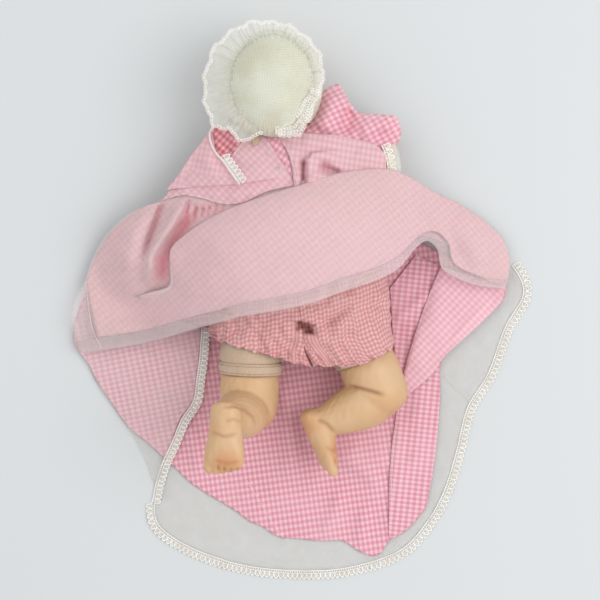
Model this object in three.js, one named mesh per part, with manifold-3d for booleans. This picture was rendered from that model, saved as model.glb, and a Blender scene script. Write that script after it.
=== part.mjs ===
// A soft-bodied baby doll lying face down in its dress, bloomers and bonnet.
// Millimetres, +Z up from the surface it lies on. +Y runs towards the head and +X towards the doll's right.
// The origin is on the resting surface, under the doll's hips.
import * as THREE from "three";
import { mergeVertices } from "three/addons/utils/BufferGeometryUtils.js";
import Module from "manifold-3d";

const wasm = await Module();
wasm.setup();

// Driving dimensions
const GAP = 0.3; // clearance between touching pieces
const CLOTH = 1.0; // woven gingham with its seam allowance
const SHEER = 0.8; // organdie layer
const SKIN = 2.0; // muslin of the stuffed body
const LAYER = 4.0; // rise from one lying layer of the skirt to the next
const FLOOR_LAYER = 1.3; // rise between the layers spread flat under the doll

const TORSO_LENGTH = 168;
const TORSO_LEAN = 9.5; // degrees that the spine leans to the doll's left
const TORSO_Z = 43;
const TORSO_HALF = 54; // half the width at the hips
const TORSO_THICK = 36; // half the thickness at the hips
const CROTCH = [2, -24];
const SHOULDER_HALF = 47; // from the spine to a shoulder
const SHOULDER_AT = 0.75 * TORSO_LENGTH; // along the spine
const WAIST_AT = 0.5 * TORSO_LENGTH; // top of the bloomers, along the spine
const HIP_RADIUS = 26;
const SHOULDER_RADIUS = 17;

const HEAD_Z = 52;
const HEAD_HALF_WIDTH = 46;
const HEAD_HALF_LENGTH = 52;
const HEAD_HALF_DEPTH = 49;
const HEAD_RADII = [HEAD_HALF_WIDTH, HEAD_HALF_LENGTH, HEAD_HALF_DEPTH];
const NECK_SHOW = 6; // neck between its seat in the body and the head
const HEAD_WALL = 3;
const NECK_RADIUS = 15.5;
const NECK_SEAT = 5.2; // the neck's seat lies this far past the end of the body
const EYE_RADIUS = 9.5;
const EYE_SPACING = 34;
const EYE_OPENING = 7.2;

const THIGH_RADIUS = 29;
const KNEE_REACH = 88; // hip centre to knee centre
const SHIN_REACH = 67; // knee centre to ankle
const FOOT_LENGTH = 66;
const FOOT_WIDTH = 38;
const KNEE_CLEAR = { left: 48, right: 52 }; // from the start of each hem casing to the knee centre
const casingStart = (side) => KNEE_REACH - KNEE_CLEAR[side]; // along the thigh
const CASING_LENGTH = 11;

const UPPER_ARM = 46;
const FOREARM = 42;
const ARM_RADIUS = 16;

const BONNET_OFFSET = 0.7; // bonnet cloth stands this far off the head
const RUFFLE_WAVES = 15;
const SKIRT_PLEATS = 8;
const LACE_WIDTH = 9;

const BACK_HEIGHT = 84; // height of the cloth over the doll's back
const BACK_REACH = 172; // where the cloth comes down to the floor, from the spine
const ARM_HEIGHT = 42;
const ARM_REACH = 74;
const PATTERN_SQUARE = TORSO_LENGTH / 16.8; // square of the dress pattern, graded to the body's length

// Colours
const finish = (color, roughness = 0.9) => new THREE.MeshStandardMaterial({ color, roughness, metalness: 0 });
const VINYL = finish(0xe3bf97, 0.45);
const MUSLIN = finish(0xbfa28d);
const STUFFING = finish(0xf2ede2);
const GINGHAM = finish(0xe0a4ac);
const ORGANDIE = finish(0xefe9e4);
const LACE = finish(0xece8dc);
const PIQUE = finish(0xe2e2d2);
const ELASTIC = finish(0xf0ece6);
const EYE_WHITE = finish(0xf4f1ea, 0.2);
const LEAD = new THREE.MeshStandardMaterial({ color: 0x6d6f73, roughness: 0.5, metalness: 0.8 });
const SNAP_METAL = new THREE.MeshStandardMaterial({ color: 0xd8d4d2, roughness: 0.35, metalness: 0.9 });

const doll = new THREE.Group();

// Solids: closed meshes that can be joined and cut
function toSolid(geometry) {
  const plain = geometry.index ? geometry.toNonIndexed() : geometry.clone();
  const bare = new THREE.BufferGeometry().setAttribute("position", plain.getAttribute("position"));
  const merged = mergeVertices(bare, 1e-3);
  const index = merged.index.array;
  const kept = [];
  for (let i = 0; i < index.length; i += 3) {
    const [a, b, c] = [index[i], index[i + 1], index[i + 2]];
    if (a !== b && b !== c && c !== a) kept.push(a, b, c);
  }
  const vertProperties = merged.attributes.position.array;
  return new wasm.Manifold(new wasm.Mesh({ numProp: 3, vertProperties, triVerts: new Uint32Array(kept) }));
}

function toGeometry(solid) {
  const mesh = solid.getMesh();
  const geometry = new THREE.BufferGeometry();
  geometry.setAttribute("position", new THREE.BufferAttribute(mesh.vertProperties, 3));
  geometry.setIndex(new THREE.BufferAttribute(mesh.triVerts, 1));
  return geometry;
}

const joined = (...geometries) => geometries.map(toSolid).reduce((a, b) => a.add(b));

function addPiece(name, shape, material) {
  const geometry = shape.isBufferGeometry ? shape : toGeometry(shape);
  const mesh = new THREE.Mesh(geometry, material);
  mesh.name = name;
  doll.add(mesh);
  return mesh;
}

// Frames and simple revolved forms
const vec = (p) => new THREE.Vector3(p[0], p[1], p[2] ?? 0);

// A matrix whose Y axis points along `along` and whose Z axis leans to `up`, at `origin`.
function frameAt(origin, along, up = new THREE.Vector3(0, 0, 1)) {
  const y = along.clone().normalize();
  const x = new THREE.Vector3().crossVectors(y, up).normalize();
  const z = new THREE.Vector3().crossVectors(x, y);
  return new THREE.Matrix4().makeBasis(x, y, z).setPosition(origin);
}

// A round limb turned about Y: `profile` lists [distance along, radius], with rounded ends.
function turned(profile, segments = 14) {
  const [first, last] = [profile[0], profile[profile.length - 1]];
  const points = [[first[0], 0], ...profile, [last[0], 0]].map(([y, r]) => new THREE.Vector2(r, y));
  return new THREE.LatheGeometry(points, segments);
}

function ellipsoid(centre, radii, columns = 20, rows = 12) {
  return new THREE.SphereGeometry(1, columns, rows).scale(...radii).translate(...centre);
}

// A ring turned about Y between two radii.
function ring(inner, outer, from, to, segments = 18) {
  const corners = [[inner, from], [outer, from], [outer, to], [inner, to], [inner, from]];
  return new THREE.LatheGeometry(corners.map(([r, y]) => new THREE.Vector2(r, y)), segments);
}

// A lofted form: each ring is a list of the same number of points, and both ends are closed.
function loft(rings) {
  const count = rings[0].length;
  const triangles = [];
  const put = (a, b, c) => triangles.push(...a.toArray(), ...b.toArray(), ...c.toArray());
  for (let i = 0; i + 1 < rings.length; i++) {
    for (let j = 0; j < count; j++) {
      const k = (j + 1) % count;
      put(rings[i][j], rings[i][k], rings[i + 1][k]);
      put(rings[i][j], rings[i + 1][k], rings[i + 1][j]);
    }
  }
  const middle = (points) => points.reduce((s, p) => s.add(p), new THREE.Vector3()).divideScalar(count);
  const [start, end] = [rings[0], rings[rings.length - 1]];
  for (let j = 0; j < count; j++) {
    const k = (j + 1) % count;
    put(middle(start), start[k], start[j]);
    put(middle(end), end[j], end[k]);
  }
  return facingOut(triangles);
}

// Triangles as a geometry whose faces point out of the volume that they close.
function facingOut(triangles) {
  let volume = 0;
  for (let i = 0; i < triangles.length; i += 9) {
    const [a, b, c] = [0, 3, 6].map((k) => new THREE.Vector3().fromArray(triangles, i + k));
    volume += a.dot(b.cross(c));
  }
  if (volume < 0) {
    for (let i = 0; i < triangles.length; i += 9) {
      for (let k = 0; k < 3; k++) {
        [triangles[i + 3 + k], triangles[i + 6 + k]] = [triangles[i + 6 + k], triangles[i + 3 + k]];
      }
    }
  }
  return new THREE.BufferGeometry().setAttribute("position", new THREE.Float32BufferAttribute(triangles, 3));
}

// The spine leans to one side as the doll lies
const lean = THREE.MathUtils.degToRad(TORSO_LEAN);
const spine = new THREE.Vector3(0, 1, 0).applyAxisAngle(new THREE.Vector3(0, 0, 1), lean);
const across = new THREE.Vector3().crossVectors(spine, new THREE.Vector3(0, 0, 1));
const spinePoint = (s) => new THREE.Vector3(CROTCH[0], CROTCH[1], TORSO_Z).addScaledVector(spine, s);
const bodyEnd = spinePoint(TORSO_LENGTH);
const NECK_Y = bodyEnd.y + NECK_SEAT;
const HEAD_CENTRE = [bodyEnd.x - 0.5, NECK_Y + NECK_SHOW + HEAD_HALF_LENGTH, HEAD_Z];

// Cloth: a surface(u, v) given a thickness
function clothSolid(surface, { nu, nv, thickness }) {
  const grid = [];
  for (let i = 0; i <= nu; i++) {
    grid.push(Array.from({ length: nv + 1 }, (_, j) => surface(i / nu, j / nv)));
  }
  const column = (i) => Math.min(Math.max(i, 0), nu);
  const row = (j) => Math.min(Math.max(j, 0), nv);
  const sides = [[], []];
  for (let i = 0; i <= nu; i++) {
    sides.forEach((side) => side.push([]));
    for (let j = 0; j <= nv; j++) {
      const du = grid[column(i + 1)][j].clone().sub(grid[column(i - 1)][j]);
      const dv = grid[i][row(j + 1)].clone().sub(grid[i][row(j - 1)]);
      const normal = du.cross(dv).normalize().multiplyScalar(thickness / 2);
      sides[0][i].push(grid[i][j].clone().add(normal));
      sides[1][i].push(grid[i][j].clone().sub(normal));
    }
  }
  const triangles = [];
  const quad = (a, b, c, d) => [a, b, c, a, c, d].forEach((p) => triangles.push(p.x, p.y, p.z));
  const [top, bottom] = sides;
  for (let i = 0; i < nu; i++) {
    const k = i + 1;
    for (let j = 0; j < nv; j++) {
      quad(top[i][j], top[k][j], top[k][j + 1], top[i][j + 1]);
      quad(bottom[i][j], bottom[i][j + 1], bottom[k][j + 1], bottom[k][j]);
    }
    quad(bottom[i][0], bottom[k][0], top[k][0], top[i][0]);
    quad(top[i][nv], top[k][nv], bottom[k][nv], bottom[i][nv]);
  }
  for (let j = 0; j < nv; j++) {
    quad(top[0][j], top[0][j + 1], bottom[0][j + 1], bottom[0][j]);
    quad(bottom[nu][j], bottom[nu][j + 1], top[nu][j + 1], top[nu][j]);
  }
  return facingOut(triangles);
}

function addCloth(name, surface, { grid, thickness = CLOTH, material = GINGHAM }) {
  const [nu, nv] = grid;
  return addPiece(name, clothSolid(surface, { nu, nv, thickness }), material);
}
const SHEER_CLOTH = { thickness: SHEER, material: ORGANDIE };
const LACE_CLOTH = { thickness: SHEER, material: LACE };

// A smooth edge through plan points, given in pattern squares.
const onGrid = ([x, y]) => new THREE.Vector3(x, y, 0).multiplyScalar(PATTERN_SQUARE);
function edge(points) {
  const curve = new THREE.CatmullRomCurve3(points.map(onGrid), false, "centripetal");
  curve.arcLengthDivisions = 200;
  return curve;
}

// Cloth spanned between two edges, at a height found from its place.
function spanned(from, to, height) {
  return (u, v) => {
    const p = from.getPointAt(u).lerp(to.getPointAt(u), v);
    p.z = height(p.x, p.y, u, v);
    return p;
  };
}

// How high the dress lies over the doll's back and arms.
function distanceToSegment(x, y, [ax, ay], [bx, by]) {
  const [dx, dy] = [bx - ax, by - ay];
  const t = Math.min(Math.max(((x - ax) * dx + (y - ay) * dy) / (dx * dx + dy * dy), 0), 1);
  return Math.hypot(x - ax - t * dx, y - ay - t * dy);
}

const LEFT_SHOULDER = spinePoint(SHOULDER_AT).addScaledVector(across, -SHOULDER_HALF);
const RIGHT_SHOULDER = spinePoint(SHOULDER_AT).addScaledVector(across, SHOULDER_HALF);
const LEFT_ELBOW = [LEFT_SHOULDER.x - 44, LEFT_SHOULDER.y - 6];
const RIGHT_ELBOW = [RIGHT_SHOULDER.x + 44, RIGHT_SHOULDER.y + 2];
const LEFT_HAND = [LEFT_ELBOW[0] - 27, LEFT_ELBOW[1] - 33];
const RIGHT_HAND = [RIGHT_ELBOW[0] + 12, RIGHT_ELBOW[1] + 36];

function swell(distance, height, reach) {
  return distance < reach ? height * (1 - (distance / reach) ** 2.4) ** 1.8 : 0;
}

function mound(x, y) {
  const low = spinePoint(0.06 * TORSO_LENGTH);
  const high = spinePoint(0.786 * TORSO_LENGTH);
  const heights = [
    swell(distanceToSegment(x, y, [low.x, low.y], [high.x, high.y]), BACK_HEIGHT, BACK_REACH),
    swell(distanceToSegment(x, y, LEFT_ELBOW, LEFT_HAND), ARM_HEIGHT, ARM_REACH),
    swell(distanceToSegment(x, y, RIGHT_ELBOW, RIGHT_HAND), ARM_HEIGHT, ARM_REACH),
  ];
  const up = (x - CROTCH[0]) * spine.x + (y - CROTCH[1]) * spine.y;
  heights[0] *= 1 - 0.25 * THREE.MathUtils.smoothstep(up / TORSO_LENGTH, 0.357, 0.982);
  return heights.reduce((sum, h) => sum + h ** 5, 0) ** (1 / 5);
}

const OVER_BASE = 7; // lowest height of the layers that lie over the spread skirt

// Head: hollow vinyl with a flange neck, and sleep eyes on a rocker
const NECK_Z = 48;
const FLANGE_HEIGHT = 4;
const FLANGE_RADIUS = NECK_RADIUS + 2.5;
const [HX, HY, HZ] = HEAD_CENTRE;

function headShape(inset) {
  const radii = HEAD_RADII.map((r) => r - inset);
  return ellipsoid(HEAD_CENTRE, radii, 18, 10);
}

// A turned form about the neck axis.
function aboutNeck(profile, segments = 16) {
  return turned(profile, segments).translate(HX, 0, NECK_Z);
}

const neckOutside = [
  [NECK_Y - FLANGE_HEIGHT, FLANGE_RADIUS],
  [NECK_Y, FLANGE_RADIUS],
  [NECK_Y + 0.5, NECK_RADIUS],
  [NECK_Y + NECK_SHOW + 3.5, NECK_RADIUS],
  [NECK_Y + NECK_SHOW + 12, NECK_RADIUS + 6],
  [NECK_Y + NECK_SHOW + 24, NECK_RADIUS + 8],
];
const neckBore = [
  [NECK_Y - FLANGE_HEIGHT - 1, NECK_RADIUS - HEAD_WALL],
  [NECK_Y + NECK_SHOW + 28, NECK_RADIUS - HEAD_WALL],
];
const faceForms = [
  ellipsoid([HX, HY - 9, 6.2], [5.2, 6, 5], 8, 6),
  ellipsoid([HX - 19, HY - 17, 16], [15, 13, 12], 10, 6),
  ellipsoid([HX + 19, HY - 17, 16], [15, 13, 12], 10, 6),
  ellipsoid([HX, HY - 34, 20], [13, 9, 12], 10, 6),
];

// The eyes look out square to the face where they sit.
const EYE_SEAT_X = EYE_SPACING / 2 + 4.8;
const eyeSeatZ = -HEAD_RADII[2] * Math.sqrt(1 - (EYE_SEAT_X / HEAD_RADII[0]) ** 2);
const EYE_DEPTH = EYE_RADIUS + 1;
function eyePlace(side) {
  const seat = new THREE.Vector3(side * EYE_SEAT_X, 0, eyeSeatZ);
  const aim = new THREE.Vector3(seat.x / HEAD_RADII[0] ** 2, 0, seat.z / HEAD_RADII[2] ** 2).normalize();
  const centre = seat.addScaledVector(aim, -EYE_DEPTH).add(vec(HEAD_CENTRE));
  return { aim, centre };
}
const EYES = { left: eyePlace(-1), right: eyePlace(1) };
const AXLE_Z = EYES.left.centre.z;
const AXLE_HALF = EYES.right.centre.x - HX;

let headShell = joined(headShape(0), aboutNeck(neckOutside), ...faceForms);
headShell = headShell.subtract(joined(headShape(HEAD_WALL), aboutNeck(neckBore)));
for (const { aim, centre } of Object.values(EYES)) {
  const clearBall = ellipsoid(centre.toArray(), [1, 1, 1].map((r) => r * (EYE_RADIUS + 0.9)), 12, 8);
  const opening = turned([[0, EYE_OPENING], [EYE_RADIUS * 2, EYE_OPENING]], 12);
  opening.applyMatrix4(frameAt(centre, aim, new THREE.Vector3(0, 1, 0)));
  headShell = headShell.subtract(toSolid(clearBall)).subtract(toSolid(opening));
}
addPiece("head_shell", headShell, VINYL);

for (const [side, { centre }] of Object.entries(EYES)) {
  const eyeball = ellipsoid(centre.toArray(), [EYE_RADIUS, EYE_RADIUS, EYE_RADIUS], 10, 7);
  addPiece(`eye_${side}`, eyeball, EYE_WHITE);
}

// The rocker bar between the eyes carries a weight on a lever; the cradle holds the bar to the forehead.
const BAR_RADIUS = 1.6;
const BAR_HALF = AXLE_HALF - EYE_RADIUS - GAP;
const WEIGHT_RADIUS = 5;
const LEVER = 18;
const alongX = (geometry) => geometry.rotateZ(-Math.PI / 2);
const bar = alongX(turned([[-BAR_HALF, BAR_RADIUS], [BAR_HALF, BAR_RADIUS]], 10)).translate(HX, HY, AXLE_Z);
const leverAim = new THREE.Vector3(0, -0.5, 0.85).normalize();
const axle = new THREE.Vector3(HX, HY, AXLE_Z);
const lever = turned([[0, 1.3], [LEVER, 1.3]], 8).applyMatrix4(frameAt(axle, leverAim));
const weightCentre = axle.clone().addScaledVector(leverAim, LEVER + 3);
const weight = ellipsoid(weightCentre.toArray(), [3.4, WEIGHT_RADIUS, WEIGHT_RADIUS], 10, 6);
addPiece("eye_rocker", joined(bar, lever, weight), LEAD);

const LUG_WIDTH = 2.2;
const LUG_X = BAR_HALF - LUG_WIDTH / 2 - 0.8;
const strap = new THREE.BoxGeometry(2 * LUG_X + LUG_WIDTH, 34, 3).translate(HX, HY + 22, AXLE_Z);
const lugs = [-1, 1].map((side) =>
  new THREE.BoxGeometry(LUG_WIDTH, 10, 7).translate(HX + side * LUG_X, HY + 2, AXLE_Z),
);
const HOLE_RADIUS = BAR_RADIUS + 0.5;
const barHole = alongX(turned([[-30, HOLE_RADIUS], [30, HOLE_RADIUS]], 10)).translate(HX, HY, AXLE_Z);
const cradleSpace = toSolid(headShape(HEAD_WALL + GAP));
const cradle = joined(strap, ...lugs).subtract(toSolid(barHole)).intersect(cradleSpace);
addPiece("eye_cradle", cradle, SNAP_METAL);

// Bonnet: crown and band are zones of a shell round the back of the head
const CROWN_RIM_Z = HZ + 0.592 * HEAD_HALF_DEPTH;
const BAND_FRONT_Z = HZ - 0.245 * HEAD_HALF_DEPTH;
const NAPE_Y = HY - 0.692 * HEAD_HALF_LENGTH;
const shellOut = BONNET_OFFSET + CLOTH;
const bonnetShell = toSolid(ellipsoid(HEAD_CENTRE, HEAD_RADII.map((r) => r + shellOut), 18, 10)).subtract(
  toSolid(ellipsoid(HEAD_CENTRE, HEAD_RADII.map((r) => r + BONNET_OFFSET), 18, 10)),
);
const slab = (z0, z1, y0) => {
  const depth = 400 - y0;
  return toSolid(new THREE.BoxGeometry(300, depth, z1 - z0).translate(HX, y0 + depth / 2, (z0 + z1) / 2));
};
addPiece("bonnet_crown", bonnetShell.intersect(slab(CROWN_RIM_Z, HZ + 80, 100)), PIQUE);
addPiece("bonnet_band", bonnetShell.intersect(slab(BAND_FRONT_Z, CROWN_RIM_Z - GAP, NAPE_Y)), PIQUE);

const zoneScale = (z, extra) => Math.sqrt(1 - ((z - HZ) / (HEAD_RADII[2] + extra)) ** 2);
const rimScale = zoneScale(CROWN_RIM_Z, shellOut);
const RIM = [(HEAD_RADII[0] + shellOut) * rimScale + 0.6, (HEAD_RADII[1] + shellOut) * rimScale + 0.6];
const RUFFLE_WIDTH = [[-60, 6], [0, 9], [60, 11], [120, 15], [180, 20], [240, 18]];
function between(table, x) {
  const k = Math.max(table.findIndex(([at]) => x <= at), 1);
  const [[x0, y0], [x1, y1]] = [table[k - 1], table[k]];
  return y0 + (y1 - y0) * THREE.MathUtils.smoothstep(x, x0, x1);
}
function ruffle(u, v) {
  const degrees = -60 + 300 * u;
  const angle = (degrees * Math.PI) / 180;
  const out = between(RUFFLE_WIDTH, degrees) * v;
  const wave = Math.sin(2 * Math.PI * RUFFLE_WAVES * u) * 2.6 * v;
  const z = CROWN_RIM_Z + 1.6 * v + wave;
  return new THREE.Vector3(HX + (RIM[0] + out) * Math.cos(angle), HY + (RIM[1] + out) * Math.sin(angle), z);
}
addCloth("bonnet_ruffle", ruffle, { grid: [RUFFLE_WAVES * 4, 1], ...LACE_CLOTH });

// The chin tie runs under the chin from one side of the band to the other.
const TIE_Y = HY - 31;
const TIE_WIDTH = 7;
function chinTie(u, v) {
  const y = TIE_Y + TIE_WIDTH * (v - 0.5);
  const lift = 7.6;
  const scale = Math.sqrt(1 - ((y - HY) / (HEAD_RADII[1] + lift)) ** 2);
  const angle = Math.PI * (1.1 + 0.8 * u);
  const deep = HEAD_RADII[2] + lift;
  const wide = HEAD_RADII[0] + lift;
  return new THREE.Vector3(HX + wide * scale * Math.cos(angle), y, HZ + deep * scale * Math.sin(angle));
}
addCloth("bonnet_chin_tie", chinTie, { grid: [14, 1], thickness: SHEER, material: PIQUE });

// Stuffed body: front and back panels round the stuffing, with seats for the limbs
// Rows of [share of the body's length, shares of its half width and half thickness, rise].
const TORSO_FORM = [
  [0, 0.296, 0.444, 0], [0.036, 0.556, 0.722, 0], [0.095, 0.852, 0.917, 0], [0.208, 1, 1, 0],
  [0.417, 0.963, 1, 0], [0.595, 0.926, 0.944, 0], [0.726, 0.889, 0.861, 0], [0.833, 0.741, 0.75, 0.028],
  [0.917, 0.537, 0.611, 0.056], [0.976, 0.389, 0.528, 0.083], [1.012, 0.37, 0.514, 0.097],
].map(([along, wide, thick, rise]) => [
  along * TORSO_LENGTH, wide * TORSO_HALF, thick * TORSO_THICK, rise * TORSO_THICK,
]);
function torsoRings(offset, from = -1e9, to = 1e9, segments = 14) {
  const rows = TORSO_FORM.filter(([s]) => s > from && s < to);
  const rowAt = (s) => {
    const k = Math.max(TORSO_FORM.findIndex(([at]) => s <= at), 1);
    const t = (s - TORSO_FORM[k - 1][0]) / (TORSO_FORM[k][0] - TORSO_FORM[k - 1][0]);
    return TORSO_FORM[k].map((value, i) => TORSO_FORM[k - 1][i] + (value - TORSO_FORM[k - 1][i]) * t);
  };
  const all = [...(from > -1e8 ? [rowAt(from)] : []), ...rows, ...(to < 1e8 ? [rowAt(to)] : [])];
  return all.map(([s, half, thick, rise]) => {
    const centre = spinePoint(s);
    return Array.from({ length: segments }, (_, j) => {
      const angle = (2 * Math.PI * j) / segments;
      const p = centre.clone().addScaledVector(across, (half + offset) * Math.cos(angle));
      p.z += rise + (thick + offset) * Math.sin(angle);
      return p;
    });
  });
}
const HIP_Z = 39;
const LEFT_HIP = new THREE.Vector3(-47, -20, HIP_Z);
const RIGHT_HIP = new THREE.Vector3(44, -13, HIP_Z);
const ball = (centre, radius) => toSolid(ellipsoid(centre.toArray(), [radius, radius, radius], 12, 8));
const JOINT_GAP = 1.4;
const neckSpace = (room) => {
  const radius = FLANGE_RADIUS + room;
  return toSolid(aboutNeck([[NECK_Y - FLANGE_HEIGHT - room, radius], [NECK_Y + 40, radius]]));
};
const limbSeats = ball(LEFT_HIP, HIP_RADIUS + JOINT_GAP)
  .add(ball(RIGHT_HIP, HIP_RADIUS + JOINT_GAP))
  .add(ball(LEFT_SHOULDER, SHOULDER_RADIUS + JOINT_GAP))
  .add(ball(RIGHT_SHOULDER, SHOULDER_RADIUS + JOINT_GAP))
  .add(neckSpace(2 * GAP));
const torsoOutside = toSolid(loft(torsoRings(0)));
const torsoInside = toSolid(loft(torsoRings(-SKIN, 3, TORSO_LENGTH - 2)));
const torsoSkin = torsoOutside.subtract(torsoInside).subtract(limbSeats);
const halfSpace = (z0, z1) => {
  return toSolid(new THREE.BoxGeometry(600, 600, z1 - z0).translate(0, 0, (z0 + z1) / 2));
};
addPiece("torso_back", torsoSkin.intersect(halfSpace(TORSO_Z + GAP / 2, 200)), MUSLIN);
addPiece("torso_front", torsoSkin.intersect(halfSpace(-100, TORSO_Z - GAP / 2)), MUSLIN);
const seatsForStuffing = ball(LEFT_HIP, HIP_RADIUS + SKIN + JOINT_GAP)
  .add(ball(RIGHT_HIP, HIP_RADIUS + SKIN + JOINT_GAP))
  .add(ball(LEFT_SHOULDER, SHOULDER_RADIUS + SKIN + JOINT_GAP))
  .add(ball(RIGHT_SHOULDER, SHOULDER_RADIUS + SKIN + JOINT_GAP))
  .add(neckSpace(SKIN + 1));
const stuffing = toSolid(loft(torsoRings(-SKIN - GAP, 4, TORSO_LENGTH - 4))).subtract(seatsForStuffing);
addPiece("torso_stuffing", stuffing, STUFFING);
const CASING_WALL = 3;
const NECK_EASE = 2 * GAP; // the gathered cloth stands off the neck
const casingInside = NECK_RADIUS + NECK_EASE;
const casingTop = NECK_Y + NECK_SHOW - 0.2;
const neckCasing = ring(casingInside, casingInside + CASING_WALL, NECK_Y + 1.8, casingTop);
addPiece("neck_casing", neckCasing.translate(HX, 0, NECK_Z), MUSLIN);

// Legs: a stuffed cloth thigh, a hem casing and one vinyl moulding bent at the knee and the ankle
const thighProfile = (casing) => [
  [8, HIP_RADIUS - 0.4],
  [18, THIGH_RADIUS - 1],
  [30, THIGH_RADIUS + 0.8],
  [casing - GAP, THIGH_RADIUS + 1],
];
const VINYL_STEM = THIGH_RADIUS - 5; // vinyl inside the casing

function hemisphere(radius, steps = 5) {
  return Array.from({ length: steps }, (_, i) => {
    const angle = ((i + 0.5) / steps) * (Math.PI / 2);
    return [-radius * Math.cos(angle), radius * Math.sin(angle)];
  });
}

const dome = (at, radius, depth, steps = 4) =>
  Array.from({ length: steps }, (_, i) => {
    const angle = ((i + 0.5) / steps) * (Math.PI / 2);
    return [at + depth * Math.sin(angle), radius * Math.cos(angle)];
  });

// Elliptical rings along Y from rows of [along, half width, half height, height of the middle].
function ovalRings(rows, segments = 12) {
  return rows.map(([y, half, high, z]) =>
    Array.from({ length: segments }, (_, j) => {
      const angle = (2 * Math.PI * j) / segments;
      return new THREE.Vector3(half * Math.cos(angle), y, z + high * Math.sin(angle));
    }),
  );
}

// In the leg's own frame Y runs from hip to knee and Z from knee to sole; `big` is the side of the big toe.
const SOLE_Z = SHIN_REACH + 15;
function vinylLeg(big, casing) {
  const casingEnd = casing + CASING_LENGTH;
  const upper = turned([
    [casing + GAP, VINYL_STEM],
    [casingEnd + GAP, VINYL_STEM],
    [casingEnd + GAP + 0.2, THIGH_RADIUS - 1.6],
    [casingEnd + 10, THIGH_RADIUS - 0.4],
    [KNEE_REACH - 6, THIGH_RADIUS - 1.5],
    ...dome(KNEE_REACH - 2, THIGH_RADIUS - 2, 22),
  ]);
  const shin = turned([
    ...dome(0, 20, -14, 4).reverse(),
    [8, 23.5],
    [24, 24],
    [42, 20.5],
    [56, 16.5],
    [SHIN_REACH, 14.5],
    ...dome(SHIN_REACH + 2, 13, 9, 4),
  ]);
  shin.rotateX(Math.PI / 2).translate(0, KNEE_REACH, 0);
  const heel = KNEE_REACH - 17;
  const toe = heel + FOOT_LENGTH;
  const half = FOOT_WIDTH / 2;
  const foot = loft(ovalRings([
    [heel, 7, 6, SOLE_Z - 10],
    [heel + 4, half - 6, 10, SOLE_Z - 11],
    [heel + 14, half - 4, 13.5, SOLE_Z - 13.5],
    [heel + 30, half - 3, 13, SOLE_Z - 13],
    [heel + 44, half - 0.5, 10.5, SOLE_Z - 11],
    [toe - 10, half, 8.5, SOLE_Z - 9.5],
    [toe - 5, half - 3, 6, SOLE_Z - 9.5],
  ]));
  const toes = [-2, -1, 0, 1, 2].map((i) => {
    const size = 4.4 + 0.5 * i;
    const tip = toe - 4.5 + 0.7 * i - 0.5 * i * i;
    return ellipsoid([big * i * 7, tip, SOLE_Z - 9], [size * 0.86, size * 1.25, size], 7, 5);
  });
  return joined(upper, shin, foot, ...toes);
}

// Thigh and shin directions as they lie: the left shin stands up, the right one lies on its side.
const LEGS = {
  left: { hip: LEFT_HIP, thigh: vec([-0.03, -1, -0.05]), shin: vec([-0.27, -0.1, 0.95]), big: 1 },
  right: { hip: RIGHT_HIP, thigh: vec([0.4, -0.91, -0.05]), shin: vec([-0.9, -0.4, 0.06]), big: -1 },
};
// Along each thigh: the left hem has slipped up, the right one covers its casing.
const BLOOMER_HEM = { left: casingStart("left") - 12, right: casingStart("right") + CASING_LENGTH + 2 };
const CASING_RADIUS = THIGH_RADIUS + 1.4;
const ELASTIC_WIDTH = 5;
const ELASTIC_WALL = 1.1;
const BLOOMER_EASE = 2.0; // air between the body and the bloomers

function thighRadius(y, casing) {
  const table = [[0, HIP_RADIUS], ...thighProfile(casing)];
  const k = Math.max(table.findIndex(([at]) => y <= at), 1);
  const t = (y - table[k - 1][0]) / (table[k][0] - table[k - 1][0]);
  return table[k - 1][1] + (table[k][1] - table[k - 1][1]) * t;
}

// Radius at which the hem elastic sits, on the thigh or on its casing.
function hemGrip(side) {
  const at = BLOOMER_HEM[side] - 3;
  return (at > casingStart(side) ? CASING_RADIUS : thighRadius(at, casingStart(side))) + 0.4;
}

for (const [side, leg] of Object.entries(LEGS)) {
  const placed = frameAt(leg.hip, leg.thigh, leg.shin);
  leg.placed = placed;
  const start = casingStart(side);
  const thigh = turned([...hemisphere(HIP_RADIUS), [0, HIP_RADIUS], ...thighProfile(start)], 18);
  addPiece(`${side}_thigh`, thigh.applyMatrix4(placed), MUSLIN);
  const casing = ring(VINYL_STEM + 0.8, CASING_RADIUS, start, start + CASING_LENGTH);
  addPiece(`${side}_thigh_casing`, casing.applyMatrix4(placed), MUSLIN);
  addPiece(`${side}_leg`, toGeometry(vinylLeg(leg.big, start)).applyMatrix4(placed), VINYL);
  const hem = BLOOMER_HEM[side];
  const grip = hemGrip(side);
  const elastic = ring(grip, grip + ELASTIC_WALL, hem - 3 - ELASTIC_WIDTH, hem - 3);
  addPiece(`bloomers_${side}_elastic`, elastic.applyMatrix4(placed), ELASTIC);
}

// Arms: a stuffed cloth upper arm, a casing and a vinyl forearm with its hand
const HAND_LENGTH = 20;
function vinylForearm(thumb) {
  const stem = ARM_RADIUS - 4.5;
  const shaft = turned([
    [GAP, stem],
    [8, stem],
    [9, ARM_RADIUS - 1.6],
    [20, ARM_RADIUS - 1],
    [FOREARM - 12, ARM_RADIUS - 4],
    [FOREARM - 3, ARM_RADIUS - 6],
    ...dome(FOREARM - 2, ARM_RADIUS - 6.5, 6, 2),
  ], 12);
  const palm = ellipsoid([0, FOREARM + 6, 0], [9.5, 11, 6.2], 8, 6);
  const fingers = [-1.5, -0.5, 0.5, 1.5].map((i) =>
    ellipsoid([i * 4.4, FOREARM + HAND_LENGTH - 4 - 0.8 * i * i, -1.5], [2.5, 7.5, 2.7], 6, 4),
  );
  const pollex = ellipsoid([thumb * 8.6, FOREARM + 6, -1.5], [2.8, 7, 2.8], 6, 4);
  return joined(shaft, palm, ...fingers, pollex);
}
const ARM_CASING = 8;
const HAND_Z = 24;
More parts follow.
